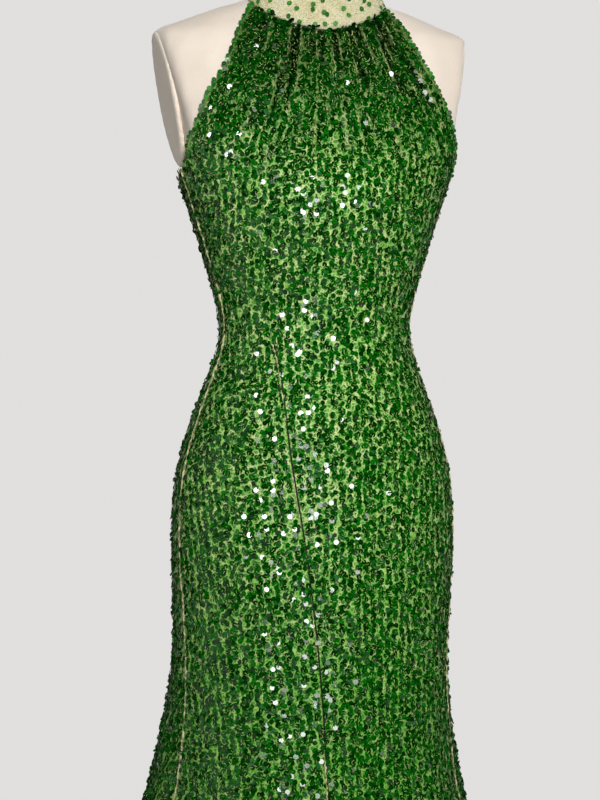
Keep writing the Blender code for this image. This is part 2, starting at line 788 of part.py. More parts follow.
def main():
    """Build the gown and its form."""
    clear_scene()
    group = make_collection("gown_on_form")
    cutters = make_collection("cutters")
    root = bpy.data.objects.new("gown_on_form_root", None)
    group.objects.link(root)

    place(wall("front_main", front_main_rows()), group, root, "sequined_net")
    place(wall("front_right", front_right_rows()), group, root, "sequined_net")
    place(wall("back_right", back_rows(-1)), group, root, "sequined_net")
    place(wall("back_left", back_rows(1)), group, root, "sequined_net")
    place(wall("collar", collar_rows()), group, root, "collar_net")

    torso = place(lofted_torso(), group, root, "form_cloth")
    cut_arm_ends(torso, cutters)
    place(arm_plate("form_arm_plate_right", -1), group, root, "form_cloth")
    place(arm_plate("form_arm_plate_left", 1), group, root, "form_cloth")
    cap = turned("form_neck_cap", NECK_CAP, PLATE_SIDES, NECK_TOP + JOINT_GAP)
    cap.location.y = NECK_MIDDLE
    place(cap, group, root, "cap_wood")
    place(pole(), group, root, "stand_metal")
    place(turned("stand_base", BASE_PROFILE, BASE_SIDES, 0.0), group, root, "stand_metal")

    slider, bail = zip_slider(cutters)
    place(slider, group, root, "zip_metal")
    bail.parent = root
    place(zip_pull(), group, root, "zip_metal")
    root.location = (0.0, AXIS_Y, 0.0)


main()
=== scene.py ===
"""Looks of the evening gown on its dress form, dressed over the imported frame.

Metres, +Z up; the gown faces -Y and its wearer's left is +X. The gown's panels are
smoothed from the frame's own walls. Two polar maps of them, round the form's axis, then
carry the rows of sequins, and the seams follow the panels' own edges. Values without a
unit are metres, or shares of 1.
"""
import math

import bmesh
import bpy
import numpy as np
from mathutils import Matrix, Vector
from mathutils.bvhtree import BVHTree

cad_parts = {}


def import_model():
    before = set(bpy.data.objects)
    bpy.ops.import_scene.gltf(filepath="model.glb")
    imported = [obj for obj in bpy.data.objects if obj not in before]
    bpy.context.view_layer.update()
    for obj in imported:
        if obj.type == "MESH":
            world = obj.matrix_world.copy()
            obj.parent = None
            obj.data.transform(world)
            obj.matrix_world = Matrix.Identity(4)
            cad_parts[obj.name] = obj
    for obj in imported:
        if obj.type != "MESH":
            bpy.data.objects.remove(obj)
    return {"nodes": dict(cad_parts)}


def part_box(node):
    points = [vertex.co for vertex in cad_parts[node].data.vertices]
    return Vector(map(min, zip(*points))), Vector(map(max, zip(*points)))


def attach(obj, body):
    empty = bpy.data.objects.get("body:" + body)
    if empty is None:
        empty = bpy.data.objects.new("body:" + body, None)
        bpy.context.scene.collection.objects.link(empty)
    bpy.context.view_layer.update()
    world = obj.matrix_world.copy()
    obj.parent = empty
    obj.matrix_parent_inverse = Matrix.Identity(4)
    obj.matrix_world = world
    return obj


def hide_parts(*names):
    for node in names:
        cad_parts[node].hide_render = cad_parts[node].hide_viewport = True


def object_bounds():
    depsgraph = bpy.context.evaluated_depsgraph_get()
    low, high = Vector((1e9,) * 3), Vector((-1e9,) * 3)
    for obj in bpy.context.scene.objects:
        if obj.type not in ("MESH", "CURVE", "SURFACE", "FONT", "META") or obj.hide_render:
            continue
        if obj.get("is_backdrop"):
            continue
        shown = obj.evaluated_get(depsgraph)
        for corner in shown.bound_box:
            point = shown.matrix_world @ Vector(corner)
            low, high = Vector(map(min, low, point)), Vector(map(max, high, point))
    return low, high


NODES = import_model()["nodes"]
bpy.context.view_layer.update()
BODY = "gown_and_form"
RANDOM = np.random.default_rng(11)
AXIS_Y = 0.5 * sum(corner.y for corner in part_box("stand_pole"))

PANELS = ("front_main", "front_right", "back_right", "back_left")
HEM, NECK_TOP = (corner.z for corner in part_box("front_main"))
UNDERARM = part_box("back_left")[1].z
SLANT_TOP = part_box("front_right")[1].z

# --- Camera, from the photograph ---
PHOTO_HEIGHT = 800  # pixels
CAMERA_AZIMUTH = -12.0  # degrees round the form, from its front
CAMERA_DISTANCE = 3.3
CAMERA_HEIGHT = 0.977
CAMERA_SIDE = 0.0171  # how far the body's axis is left of the picture's middle
PIXEL = 0.00122  # what a pixel covers at the body's axis

# --- Sequins ---
SEQUIN_RADIUS = 0.0031
SEQUIN_HOLE = 0.0003
SEQUIN_SIZES = (0.95, 1.04)  # shares of that radius
ROW_PITCH = 0.0098  # from one sewn row to the next
ROW_HALF = 0.0016  # the row's two columns are this far from its thread
SEQUIN_STEP = 0.0027  # from one sequin to the next, on alternate sides
BACK_STEP = 0.0030  # and on the back
ROW_STRAY = 0.0003  # how far a whole row is out of its place
ROW_WANDERS = ((0.0008, 0.021), (0.0007, 0.043), (0.0008, 0.105))  # and wanders, in such waves
SPARE_COLUMNS = 3  # of the map; a row may run on this far into the next panel
SEQUIN_LIFT = 0.0007  # how far they ride above the net
LIFT_STRAY = (-0.0003, 0.0005)
LOOSE_LIFT = 0.0007  # and the loose ones further
SHINGLE = 6.0  # degrees; each one's lower edge rides on the next
FLAT_TILT = 6.0  # degrees; most sequins lie this flat
LOOSE_TILT = 19.0  # and the rest this loose
LOOSE_SHARE = 0.28
LOOSE_IN_GATHERS = 0.36
LOST_SHARE = (0.02, 0.13)  # missing here and there, at the heights below
LOST_HEIGHTS = (0.62, 0.84)
STRAY_ACROSS = 0.0011  # how unevenly they are sewn
STRAY_ALONG = 0.0012
STITCH_TURN = 60.0  # degrees that a sequin's stitch strays from the row
STITCH_SHARE = 0.5  # the rest lie hidden under their sequins
LEAN = 0.13  # slope of the rows on the wearer's right front panel
LEAN_FROM = 0.53  # height where that slope begins
SIDE_MARGIN = 0.0006  # their centres stay this far from a side seam
BACK_MARGIN = 0.0005  # from the centre back
SLANT_MARGIN = 0.0006  # from the slanting seam, and clear of it where it is open
SLANT_CLEAR = 0.0030
SLANT_OPEN = (0.815, 0.945)
SLANT_SHOWS = 1.056  # it is covered above this
EDGE_MARGIN = 0.0030  # from an armhole, which has a row of its own
EDGE_INSET = -0.0017
EDGE_STRAY = (-0.0006, 0.0012)
EDGE_STEP = 0.0056
FRONTWARDS = 0.9  # how far edge sequins flop round to face the front
NECK_ROWS = (0.0022, 0.0058)  # rows of sequins under the collar's edge

# --- Gathers ---
GATHER_FROM = 1.270  # rows follow the gathers above this
GATHER_BLEND = 0.030
LOOSEN_OVER = 0.1  # and are fully loose this far above it
GATHER_SHADE_HEIGHTS = (1.235, 1.382)  # painted shade of the gathers: sequins and net darken between these heights
CROWDING = 3.2  # sequins in the gathers are at most this much closer
TIGHTEST = 0.45  # and a row's columns close up to this share of their width
# each pleat is a pale crest of bare net with a ditch beside it: share of the way across from
# the wearer's right, top, bottom, bare half width, and the ditch's depth, negative where it
# is on the wearer's right of the crest
PLEATS = (
    (0.120, 1.430, 1.385, 0.0012, -0.0018),
    (0.205, 1.378, 1.292, 0.0015, 0.0020),
    (0.238, 1.420, 1.372, 0.0013, 0.0022),
    (0.308, 1.418, 1.305, 0.0015, -0.0024),
    (0.360, 1.420, 1.383, 0.0010, 0.0018),
    (0.418, 1.412, 1.358, 0.0012, 0.0022),
    (0.530, 1.422, 1.356, 0.0014, 0.0024),
    (0.585, 1.415, 1.382, 0.0010, -0.0018),
    (0.665, 1.416, 1.332, 0.0015, 0.0024),
    (0.715, 1.420, 1.388, 0.0010, 0.0016),
    (0.780, 1.424, 1.352, 0.0015, -0.0022),
    (0.834, 1.414, 1.322, 0.0015, 0.0022),
    (0.880, 1.420, 1.380, 0.0010, 0.0018),
    (0.927, 1.430, 1.400, 0.0012, -0.0016),
    (0.966, 1.375, 1.298, 0.0012, -0.0018),
    (0.261, 1.280, 1.234, 0.0016, 0.0010),
    (0.350, 1.302, 1.262, 0.0010, -0.0008),
    (0.413, 1.305, 1.250, 0.0016, 0.0012),
    (0.470, 1.332, 1.292, 0.0010, 0.0010),
    (0.560, 1.300, 1.264, 0.0010, -0.0008),
    (0.620, 1.304, 1.256, 0.0015, 0.0012),
    (0.662, 1.310, 1.268, 0.0013, 0.0010),
    (0.753, 1.285, 1.238, 0.0016, -0.0010),
    (0.800, 1.302, 1.262, 0.0010, 0.0010),
    (0.155, 1.332, 1.290, 0.0012, 0.0012),
    (0.905, 1.352, 1.310, 0.0012, -0.0012),
)
DITCH_AWAY = 0.0062  # from the crest to the middle of its ditch
DITCH_HALF = 0.0052
DEEP = 0.0022  # a ditch this deep is fully in the shade
CREST_SHARE = 0.4  # a crest stands out by this share of its ditch's depth
STREAK_REACH = 0.0068  # sequins this close to a crest are pushed aside

# --- Cloth ---
WALL_REACH = 0.0045  # a ray into the frame's wall leaves it again within this
WALL_DROP = 0.0006  # the net lies this far inside the frame's walls
NET_THICKNESS = 0.0008
COLLAR_THICKNESS = 0.0012
SKIN_LEVELS = 2  # of subdivision
MAP_STEP = 0.003
MAP_TURN = 135.0  # a map reaches this far to either side of its middle, in degrees
MAP_COLUMNS = 541
BRIDGED = 4  # a seam's hairline gap is fewer columns wide than this
# soft creases where the gown strains: degrees from the front, height, half length, half
# width, depth (a trough is negative), and the degrees that it runs upwards
CREASES = (
    (-38.0, 1.022, 0.075, 0.011, -0.0016, 8.0),
    (-34.0, 0.992, 0.085, 0.012, 0.0012, 5.0),
    (-60.0, 1.003, 0.055, 0.010, -0.0016, -6.0),
    (30.0, 1.010, 0.080, 0.011, -0.0017, -9.0),
    (44.0, 0.985, 0.070, 0.011, 0.0012, -12.0),
    (58.0, 1.030, 0.050, 0.010, -0.0015, 4.0),
    (6.0, 1.002, 0.070, 0.013, -0.0010, 2.0),
    (-14.0, 1.075, 0.060, 0.013, -0.0012, 24.0),
    (22.0, 1.085, 0.060, 0.013, -0.0012, -22.0),
    (-46.0, 0.640, 0.110, 0.020, -0.0024, 58.0),
    (-20.0, 0.560, 0.100, 0.022, 0.0022, 64.0),
    (34.0, 0.600, 0.120, 0.020, -0.0024, -60.0),
    (62.0, 0.660, 0.100, 0.018, -0.0022, -52.0),
    (78.0, 0.760, 0.070, 0.016, -0.0016, -40.0),
    (-78.0, 0.750, 0.070, 0.016, -0.0016, 42.0),
    (150.0, 0.985, 0.070, 0.012, -0.0018, -10.0),
    (166.0, 0.965, 0.060, 0.011, 0.0012, -6.0),
    (-150.0, 0.982, 0.070, 0.012, -0.0018, 10.0),
    (-166.0, 0.962, 0.060, 0.011, 0.0012, 6.0),
    (128.0, 0.700, 0.110, 0.018, -0.0024, -58.0),
    (-128.0, 0.700, 0.110, 0.018, -0.0024, 58.0),
    (150.0, 0.640, 0.110, 0.020, 0.0024, -66.0),
    (-150.0, 0.640, 0.110, 0.020, 0.0024, 66.0),
)
# the rectangles that the gown's pieces are cut from
FLATS = {"front_main": (0.48, 1.48), "front_right": (0.46, 1.20), "back_right": (0.71, 1.34),
         "back_left": (0.71, 1.34), "collar": (0.56, 0.08)}

# --- Seams ---
CORD_SIDES = 6
CREST_RADIUS = 0.0006  # the net bunched along a pleat's crest
CREST_LIFT = 0.0003
CREST_UNEVEN = 0.8
CREST_PAST = 0.010  # it runs on this far above its pleat
NECK_LOW = 1.400  # the collar seam is the only border of the front above this
NECK_MARGIN = 0.0035
SEAM_LINE = 0.0015  # borders this near the middle of the back are its seam
ABOVE_HEM = HEM + 0.001
NEARLY = 0.0005  # how far a border's corner may be out of its place
SLANT_PALE = ((0.942, 1.053), (0.825, 0.895), (0.667, 0.731), (0.500, 0.570), (0.350, 0.430))

# --- Collar ---
BEAD_GRID = (0.0027, 0.35, 0.0006)  # spacing, stray as a share of it, margin to the edges
BEAD_RADIUS = 0.0008
BEAD_SIZES = (0.8, 1.15)  # shares of that radius
BEAD_TILT = 20.0  # degrees
BEAD_LIFT = 0.0004
COLLAR_SEQUIN_GRID = (0.0150, 0.42, 0.0020)
COLLAR_SEQUIN_LIFT = 0.0009
EYE_RADIUS = 0.0009  # the bead that holds a collar sequin
EYE_LIFT = 0.0014

# --- Dress form ---
SHOULDER_RISE = 0.0055  # padding under the cover, from the neck's side out to the plates
PLATE_RISE = 0.0080  # and of the plates' own tops
PLATE_SLIM = 0.95  # share of the plates' depth that their covers keep
SHOULDER_FROM, SHOULDER_OVER = 0.070, 0.060
SHOULDER_LOW, SHOULDER_HIGH = 1.300, 1.390
TIP_REACH = 0.0045  # the cover closes up to the plates' tops by this much
TIP_OVER = 0.030
TIP_PLACE, TIP_HEIGHT, TIP_LEAN = 0.171, 1.340, 0.194  # the arm ends lean out from here

# --- Studio ---
FLOOR_RADIUS = 3.1
WALL_LIGHT = (1.0, 0.99, 0.97, 1.0)
SKY_FILL, SKY_GLOSS, SKY_WALL = 0.165, 0.018, 0.75  # its strength on surfaces, in gloss, seen
# name, degrees round the form, height, distance, width, watts, and how it differs from a plain one
LAMPS = (
    ("key", -6.0, 2.25, 3.25, 0.45, 25.8, dict(mirrored=False, aim_at=1.15, spread=90.0)),
    ("glint_high", 2.0, 1.72, 3.4, 0.58, 0.62, dict(lit=False, aim_at=1.15, spread=24.0)),
    ("glint_low", -20.0, 1.52, 3.4, 0.56, 0.72, dict(lit=False, aim_at=1.08, spread=24.0)),
    ("fill_left", -80.0, 1.5, 2.7, 2.4, 5.0, dict(lit=False)),
    ("fill_right", 60.0, 1.7, 3.2, 1.6, 12.0, dict(mirrored=False)),
    ("back_key", 168.0, 2.1, 3.2, 0.40, 60.0, dict()),
    ("back_fill_left", -150.0, 2.0, 3.2, 1.2, 18.0, dict(mirrored=False)),
    ("back_fill_right", 140.0, 2.0, 3.2, 1.2, 18.0, dict(mirrored=False)),
)


def axis_at(height):
    return Vector((0.0, AXIS_Y, height))


def outward(turn):
    """The level direction at this angle round the form's axis, from its front."""
    return Vector((math.sin(turn), -math.cos(turn), 0.0))


def given(thing, **settings):
    """The thing, with these settings."""
    for key, value in settings.items():
        setattr(thing, key, value)
    return thing


def in_scene(name, data):
    """A new object that shows a mesh, or is a lamp or a camera."""
    made = bpy.data.objects.new(name, data)
    bpy.context.scene.collection.objects.link(made)
    return made


def hump(offset, reach):
    """1 at the middle of a fold, falling smoothly to 0 at its reach."""
    return 0.5 + 0.5 * np.cos(np.pi * np.clip(np.abs(offset) / reach, 0.0, 1.0))


def eased(share):
    """The share between 0 and 1, starting and ending softly."""
    share = np.clip(share, 0.0, 1.0)
    return share * share * (3.0 - 2.0 * share)


def unit(ways):
    return ways / np.linalg.norm(ways, axis=-1, keepdims=True)


def run_along(spots):
    """How far along a line of points each of them is."""
    return np.concatenate(((0.0,), np.cumsum(np.linalg.norm(np.diff(spots, axis=0), axis=1))))


def sampled(table, places, stations):
    """The table's lines at the stations, between those at its own places."""
    return np.stack([np.interp(stations, places, side) for side in table.T], axis=1)


# --- Materials ---

def colour(shade):
    """A linear colour from the photograph's 0 to 255 values."""
    def linear(value):
        value /= 255.0
        return value / 12.92 if value <= 0.04045 else ((value + 0.055) / 1.055) ** 2.4
    return (*map(linear, shade), 1.0)


class Shader:
    """The nodes of a material or of the world, built socket by socket."""

    def __init__(self, name, kind=bpy.data.materials, surface="Principled BSDF", **sockets):
        self.made = kind.new(name)
        self.made.use_nodes = True
        self.tree = self.made.node_tree
        self.surface = self.tree.nodes[surface]
        self.set(self.surface, sockets)

    def set(self, node, sockets):
        for key, value in sockets.items():
            socket = node.inputs[key.replace("_", " ") if isinstance(key, str) else key]
            if isinstance(value, bpy.types.NodeSocket):
                self.tree.links.new(value, socket)
            else:
                socket.default_value = value

    def node(self, kind, sockets, **settings):
        made = given(self.tree.nodes.new("ShaderNode" + kind), **settings)
        self.set(made, sockets)
        return made

    def place(self):
        """The point in metres."""
        return self.node("TexCoord", {}).outputs["Object"]

    def climb(self, start, end):
        """0 at the first height and 1 at the other, evenly between them."""
        height = self.node("SeparateXYZ", {"Vector": self.place()}).outputs["Z"]
        return self.node("MapRange", {"Value": height, "From Min": start, "From Max": end}).outputs[0]

    def noise(self, size, detail, vector=None):
        """Cloudy values whose patches are about this size."""
        return self.node("TexNoise", {"Vector": vector or self.place(), "Scale": 1.0 / size,
                                      "Detail": detail}).outputs["Fac"]

    def cells(self, size, feature="F1", vector=None):
        """Distance to the nearest cell point, or to the cell's edge."""
        return self.node("TexVoronoi", {"Vector": vector or self.place(), "Scale": 1.0 / size},
                         feature=feature).outputs["Distance"]

    def ramp(self, value, *stops):
        """Colours or grey values at their places between 0 and 1."""
        made = self.node("ValToRGB", {"Fac": value})
        marks = made.color_ramp.elements
        for index, (place, shade) in enumerate(stops):
            mark = marks[index] if index < 2 else marks.new(place)
            mark.position = place
            mark.color = colour(shade) if isinstance(shade, tuple) else (shade, shade, shade, 1.0)
        return made.outputs["Color"]

    def mix(self, share, first, second, blend="MIX"):
        """Two colours mixed, each given as a socket or as the photograph's values."""
        first, second = (colour(side) if isinstance(side, tuple) else side for side in (first, second))
        return self.node("Mix", {0: share, 6: first, 7: second}, data_type="RGBA",
                         blend_type=blend).outputs[2]

    def math(self, operation, *values):
        return self.node("Math", dict(enumerate(values)), operation=operation).outputs[0]

    def bump(self, height, depth, strength):
        made = self.node("Bump", {"Height": height, "Distance": depth, "Strength": strength})
        self.set(self.surface, {"Normal": made.outputs["Normal"]})

    def finish(self, **sockets):
        self.set(self.surface, sockets)
        return self.made


def painted_fold_shade(made, shade, depth):
    """The colour with painted shade, darker down in the folds."""
    fold = made.node("Attribute", {}, attribute_name="fold").outputs["Fac"]
    return made.mix(made.math("MULTIPLY", fold, depth), shade, (0, 0, 0))


def sequin_material(name, *stops, rough, mottled=0.0, gathered=False):
    """Lacquered film: each sequin has its own tone and polish, under mottling that paints patches of
    shade and dark reflection.
    """
    made = Shader(name, IOR=1.6)
    island = made.node("NewGeometry", {}).outputs["Random Per Island"]
    # mottling: painted patches of shade and dark reflection on each sequin
    shade_patches = made.ramp(made.noise(0.0026, 1.0), (0.42, 0.26), (0.57, 1.0))
    shade = made.mix(mottled, made.ramp(island, *stops), shade_patches, "MULTIPLY")
    # painted shade: darker down in the pleats' ditches
    shade = painted_fold_shade(made, shade, 0.78)
    if gathered:
        # painted shade of the gathers: sequins darker towards the top
        gather_shade = made.ramp(made.climb(*GATHER_SHADE_HEIGHTS), (0.0, 1.0), (1.0, 0.60))
        shade = made.mix(1.0, shade, gather_shade, "MULTIPLY")
    # a second number of the sequin's own
    polish = made.math("FRACT", made.math("MULTIPLY", island, 37.0))
    polish = made.math("MULTIPLY_ADD", polish, rough[1] - rough[0], rough[0])
    return made.finish(Base_Color=shade, Roughness=polish)


def net_shader(name):
    return Shader(name, Roughness=0.55, Sheen_Weight=0.15, Sheen_Roughness=0.4)


def collar_net_material():
    """Fine net: twisted metallic threads round small dark cells."""
    made = net_shader("collar_net")
    threads = made.ramp(made.cells(0.0011, "DISTANCE_TO_EDGE"), (0.10, 1.0), (0.28, 0.0))
    tone = made.ramp(made.noise(0.030, 3.0), (0.35, (226, 222, 188)), (0.65, (214, 206, 160)))
    made.bump(threads, 0.0002, 0.7)
    return made.finish(Base_Color=made.mix(threads, (168, 160, 118), tone))


def gown_net_material():
    """The gown's lime net under a web of paler thread, darkened by painted shade in the gathers and
    ditches, greener low down.
    """
    made = net_shader("gold_net")
    place = made.place()
    # painted shade of the gathers: fill and thread darker towards the top
    high = made.climb(*GATHER_SHADE_HEIGHTS)
    fill = made.ramp(made.noise(0.0045, 2.0), (0.38, (44, 116, 25)), (0.62, (85, 157, 50)))
    fill = made.mix(high, fill, (34, 72, 20))
    holes = made.ramp(made.cells(0.0013, "DISTANCE_TO_EDGE"), (0.06, 0.0), (0.30, 0.55))
    fill = made.mix(holes, fill, (44, 96, 22))
    strayed = made.node("TexNoise", {"Vector": place, "Scale": 260.0, "Detail": 1.0}).outputs["Color"]
    cells = made.cells(0.0050, "DISTANCE_TO_EDGE", made.mix(0.0022, place, strayed))
    web = made.ramp(cells, (0.05, 1.0), (0.14, 0.0))
    thread = made.ramp(made.noise(0.010, 3.0), (0.40, (141, 195, 86)), (0.62, (208, 222, 149)))
    thread = made.mix(high, thread, (104, 124, 62))
    low = made.math("MULTIPLY", made.climb(0.897, 0.552), 0.60)
    thread = made.mix(low, thread, (116, 182, 62))
    made.bump(web, 0.0003, 0.8)
    # painted shade down in the pleats' ditches
    return made.finish(Base_Color=painted_fold_shade(made, made.mix(web, fill, thread), 0.72))


def jersey_material():
    """Knitted cotton cover: fine columns of stitches, faint mottling and handling marks."""
    made = Shader("form_jersey", Roughness=0.85, Sheen_Weight=0.25, Sheen_Roughness=0.5)
    knit = made.node("TexWave", {"Vector": made.place(), "Scale": 160.0, "Distortion": 1.6,
                                 "Detail": 1.0, "Detail Scale": 6.0}, wave_type="BANDS")
    slub = made.cells(0.0016)
    shade = made.ramp(made.noise(0.060, 4.0), (0.30, (233, 219, 203)), (0.70, (242, 229, 214)))
    shade = made.mix(made.ramp(slub, (0.0, 0.0), (0.9, 0.12)), shade, (186, 172, 150))
    made.bump(made.math("MULTIPLY_ADD", slub, 0.6, knit.outputs["Fac"]), 0.0002, 0.35)
    return made.finish(Base_Color=shade)


def grained_material(name, patch, low, high, grain, depth, strength, **sockets):
    """Two shades in soft patches over a fine grain; each shade has its place on the noise."""
    made = Shader(name, **sockets)
    made.bump(made.noise(grain, 2.0), depth, strength)
    return made.finish(Base_Color=made.ramp(made.noise(patch, 3.0), low, high))


def thread_material(name, light, dark, sheen=0.2):
    """Plied thread along a seam."""
    return grained_material(name, 0.005, (0.42, dark), (0.58, light), 0.0012, 0.0003, 0.6,
                            Roughness=0.6, Sheen_Weight=sheen)


def wood_material():
    """Oiled beech: rings stretched along the grain."""
    made = Shader("cap_beech", Roughness=0.42, Coat_Weight=0.15)
    stretched = made.node("Mapping", {"Vector": made.place(), "Scale": (1.0, 0.12, 1.0)})
    grain = made.noise(0.006, 5.0, stretched.outputs["Vector"])
    made.bump(grain, 0.0002, 0.4)
    return made.finish(Base_Color=made.ramp(grain, (0.35, (146, 104, 66)), (0.50, (178, 134, 88)),
                                            (0.68, (196, 156, 108))))


def stand_material():
    """Satin black powder coat."""
    return grained_material("stand_black", 0.05, (0.3, (24, 24, 25)), (0.7, (33, 33, 34)),
                            0.0009, 0.0001, 0.5, Roughness=0.38)


def zip_material():
    """Green enamel over metal, in soft patches of two greens."""
    return grained_material("zip_enamel", 0.002, (0.40, (24, 78, 34)), (0.72, (42, 104, 50)),
                            0.0006, 0.0001, 0.3, Roughness=0.30, Metallic=0.35)


# painted light in these tones: the darkest stand for shade and dark reflection, the grey-teal last for
# sheen
SEQUIN = sequin_material(
    "sequin_green", (0.0, (0, 48, 0)), (0.30, (0, 74, 0)), (0.68, (0, 98, 2)), (0.92, (10, 116, 10)),
    (0.98, (40, 104, 48)), rough=(0.05, 0.13), mottled=0.8, gathered=True)
EDGE_SEQUIN = sequin_material(
    "sequin_edge", (0.0, (2, 64, 2)), (0.5, (16, 100, 12)), (0.85, (38, 120, 28)),
    (1.0, (88, 156, 64)), rough=(0.24, 0.36))
# its mottling paints patches of shade and dark reflection too
COLLAR_SEQUIN = sequin_material(
    "sequin_bright", (0.0, (30, 112, 20)), (0.6, (60, 145, 34)), (1.0, (84, 160, 60)),
    rough=(0.40, 0.55), mottled=0.7)
COLLAR_EYE = sequin_material(
    "sequin_eye", (0.0, (110, 176, 72)), (1.0, (150, 200, 110)), rough=(0.2, 0.3))
BEAD = sequin_material(
    "seed_bead", (0.0, (150, 160, 112)), (0.25, (206, 202, 162)), (0.75, (234, 230, 204)),
    (1.0, (250, 250, 242)), rough=(0.08, 0.2))
NET = gown_net_material()
COLLAR_NET = collar_net_material()
STITCH_THREAD = thread_material("stitch_thread", (194, 204, 130), (104, 148, 56))
THREAD = thread_material("seam_thread", (216, 210, 154), (120, 140, 72))
SIDE_THREAD = thread_material("side_thread", (212, 202, 156), (116, 126, 70))
CREST_THREAD = thread_material("crest_thread", (174, 178, 116), (60, 92, 34))
# painted shadow: a near-black cord where the slanting seam's groove lies in shade
SEAM_SHADOW = thread_material("painted_seam_shadow", (8, 30, 6), (3, 14, 2), sheen=0.0)
EDGE_THREAD = thread_material("edge_thread", (120, 142, 74), (64, 92, 36))
JERSEY = jersey_material()


# --- Meshes ---

def paint(mesh, material):
    mesh.materials.clear()
    mesh.materials.append(material)


def piece(name, mesh, material):
    """A new piece of the scene, shaded smooth and riding on the form's body."""
    made = in_scene(name, mesh)
    paint(mesh, material)
    mesh.shade_smooth()
    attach(made, BODY)
    return made


def sew(panel, name, corners, faces, material):
    """Sequins, beads or a seam as a piece that goes with its panel."""
    mesh = bpy.data.meshes.new(name)
    mesh.from_pydata(corners, [], faces)
    made = piece(name, mesh, material)
    sewn_on[panel].append(made)
    return made


def modified(made, **modifiers):
    """The object's mesh with these kinds of modifier applied, each with its settings."""
    for kind, settings in modifiers.items():
        given(made.modifiers.new(kind, kind), **settings)
    bpy.context.view_layer.update()
    graph = bpy.context.evaluated_depsgraph_get()
    mesh = bpy.data.meshes.new_from_object(made.evaluated_get(graph))
    made.modifiers.clear()
    made.data = mesh
    return mesh


def vectors(items, key):
    """A vector of each vertex, as an array with a line for each."""
    values = np.empty(len(items) * 3)
    items.foreach_get(key, values)
    return values.reshape(-1, 3)


def surface_of(mesh):
    """A mesh's points and their normals."""
    return vectors(mesh.vertices, "co"), vectors(mesh.vertex_normals, "vector")


def move(mesh, spots):
    mesh.vertices.foreach_set("co", spots.ravel())
    mesh.update()


def outer_skin(name):
    """The outer side of a node's wall, its triangles joined to quads and subdivided."""
    wall = bmesh.new()
    wall.from_mesh(NODES[name].data)
    bmesh.ops.remove_doubles(wall, verts=wall.verts, dist=0.00001)
    wall.normal_update()
    tree = BVHTree.FromBMesh(wall)
    inside = [face for face in wall.faces if not faces_out(face, tree)]
    bmesh.ops.delete(wall, geom=inside, context="FACES")
    bmesh.ops.join_triangles(wall, faces=wall.faces, angle_face_threshold=math.pi,
                             angle_shape_threshold=math.pi)
    mesh = bpy.data.meshes.new(name + "_skin")
    wall.to_mesh(mesh)
    wall.free()
    made = in_scene(name + "_skin", mesh)
    mesh = modified(made, SUBSURF=dict(levels=SKIN_LEVELS, render_levels=SKIN_LEVELS,
                                       boundary_smooth="PRESERVE_CORNERS"))
    bpy.data.objects.remove(made)
    return mesh


def faces_out(face, tree):
    """Whether a face is on the outer side of a thin wall, and not inside or on its rim."""
    centre = face.calc_center_median()
    way_out = (centre - axis_at(min(centre.z, UNDERARM))).normalized()
    if face.normal.dot(way_out) < 0.2:
        return False
    _, normal, _, _ = tree.ray_cast(centre - face.normal * 0.0001, -face.normal, WALL_REACH)
    return normal is not None and normal.dot(face.normal) < 0.0


def polar(spots):
    """Angles round the form's axis, from its front to the wearer's left, and distances from it."""
    ahead = AXIS_Y - spots[:, 1]
    return np.arctan2(spots[:, 0], ahead), np.hypot(spots[:, 0], ahead)


def arm_angle(heights):
    """How far round the bodice reaches at these heights, to its armholes."""
    return np.interp(heights, ARM_HEIGHTS, ARM_ANGLES)


def beside(spots, pleat):
    """How far points lie to the wearer's left of a pleat's crest, and its strength there."""
    share, top, bottom = pleat[:3]
    angles, reach = polar(spots)
    away = (angles - (2.0 * share - 1.0) * arm_angle(spots[:, 2])) * reach
    up = (spots[:, 2] - bottom) / (top - bottom)
    strength = hump(np.minimum(up - 0.45, 0.0), 0.45) * hump(np.maximum(up - 1.0, 0.0), 0.6)
    return away, strength


def pleated(spots):
    """How far the bodice's points move out for the pleats' crests, and in for their ditches."""
    crests, ditches = np.zeros(len(spots)), np.zeros(len(spots))
    for pleat in PLEATS:
        away, strength = beside(spots, pleat)
        depth = pleat[4]
        crests += CREST_SHARE * abs(depth) * strength * hump(away, DITCH_HALF)
        ditches += abs(depth) * strength * hump(away - math.copysign(DITCH_AWAY, depth), DITCH_HALF)
    return crests, ditches


def store_fold_shade(mesh, ditches):
    """Stores for each point how deep it lies in a ditch, 0 to 1, which its material turns into painted
    shade.
    """
    values = np.clip(ditches / DEEP, 0.0, 1.0)
    mesh.attributes.new("fold", "FLOAT", "POINT").data.foreach_set("value", values)


def crease(spots, normals):
    """The panel's points, moved out and in by the listed creases."""
    angles, reach = polar(spots)
    total = np.zeros(len(spots))
    for turn, height, length, width, depth, run in CREASES:
        away = np.angle(np.exp(1j * (angles - math.radians(turn)))) * reach
        up = spots[:, 2] - height
        tilt = math.radians(run)
        along = away * math.cos(tilt) + up * math.sin(tilt)
        across = up * math.cos(tilt) - away * math.sin(tilt)
        total += depth * hump(along, length) * hump(across, width)
    return spots + normals * (total - WALL_DROP)[:, None]


skins = {name: outer_skin(name) for name in FLATS}

# the armhole edge as a list of heights and angles, from the frame
edge = vectors(skins["front_main"].vertices, "co")
edge = edge[(edge[:, 0] > 0.0) & (edge[:, 2] > UNDERARM)]
ARM_HEIGHTS = np.arange(UNDERARM + 0.003, edge[:, 2].max() - 0.002, 0.004)
ARM_ANGLES = np.array([polar(edge[np.abs(edge[:, 2] - height) < 0.003])[0].max()
                       for height in ARM_HEIGHTS])
for name, skin in skins.items():
    spots, normals = surface_of(skin)
    if name == "front_main":
        crests, ditches = pleated(spots)
        # how deep each point lies in a ditch, kept for the painted shade of its material
        store_fold_shade(skin, ditches)
        spots = spots + normals * (crests - ditches)[:, None]
    move(skin, crease(spots, normals))


# --- Polar maps of the gown ---

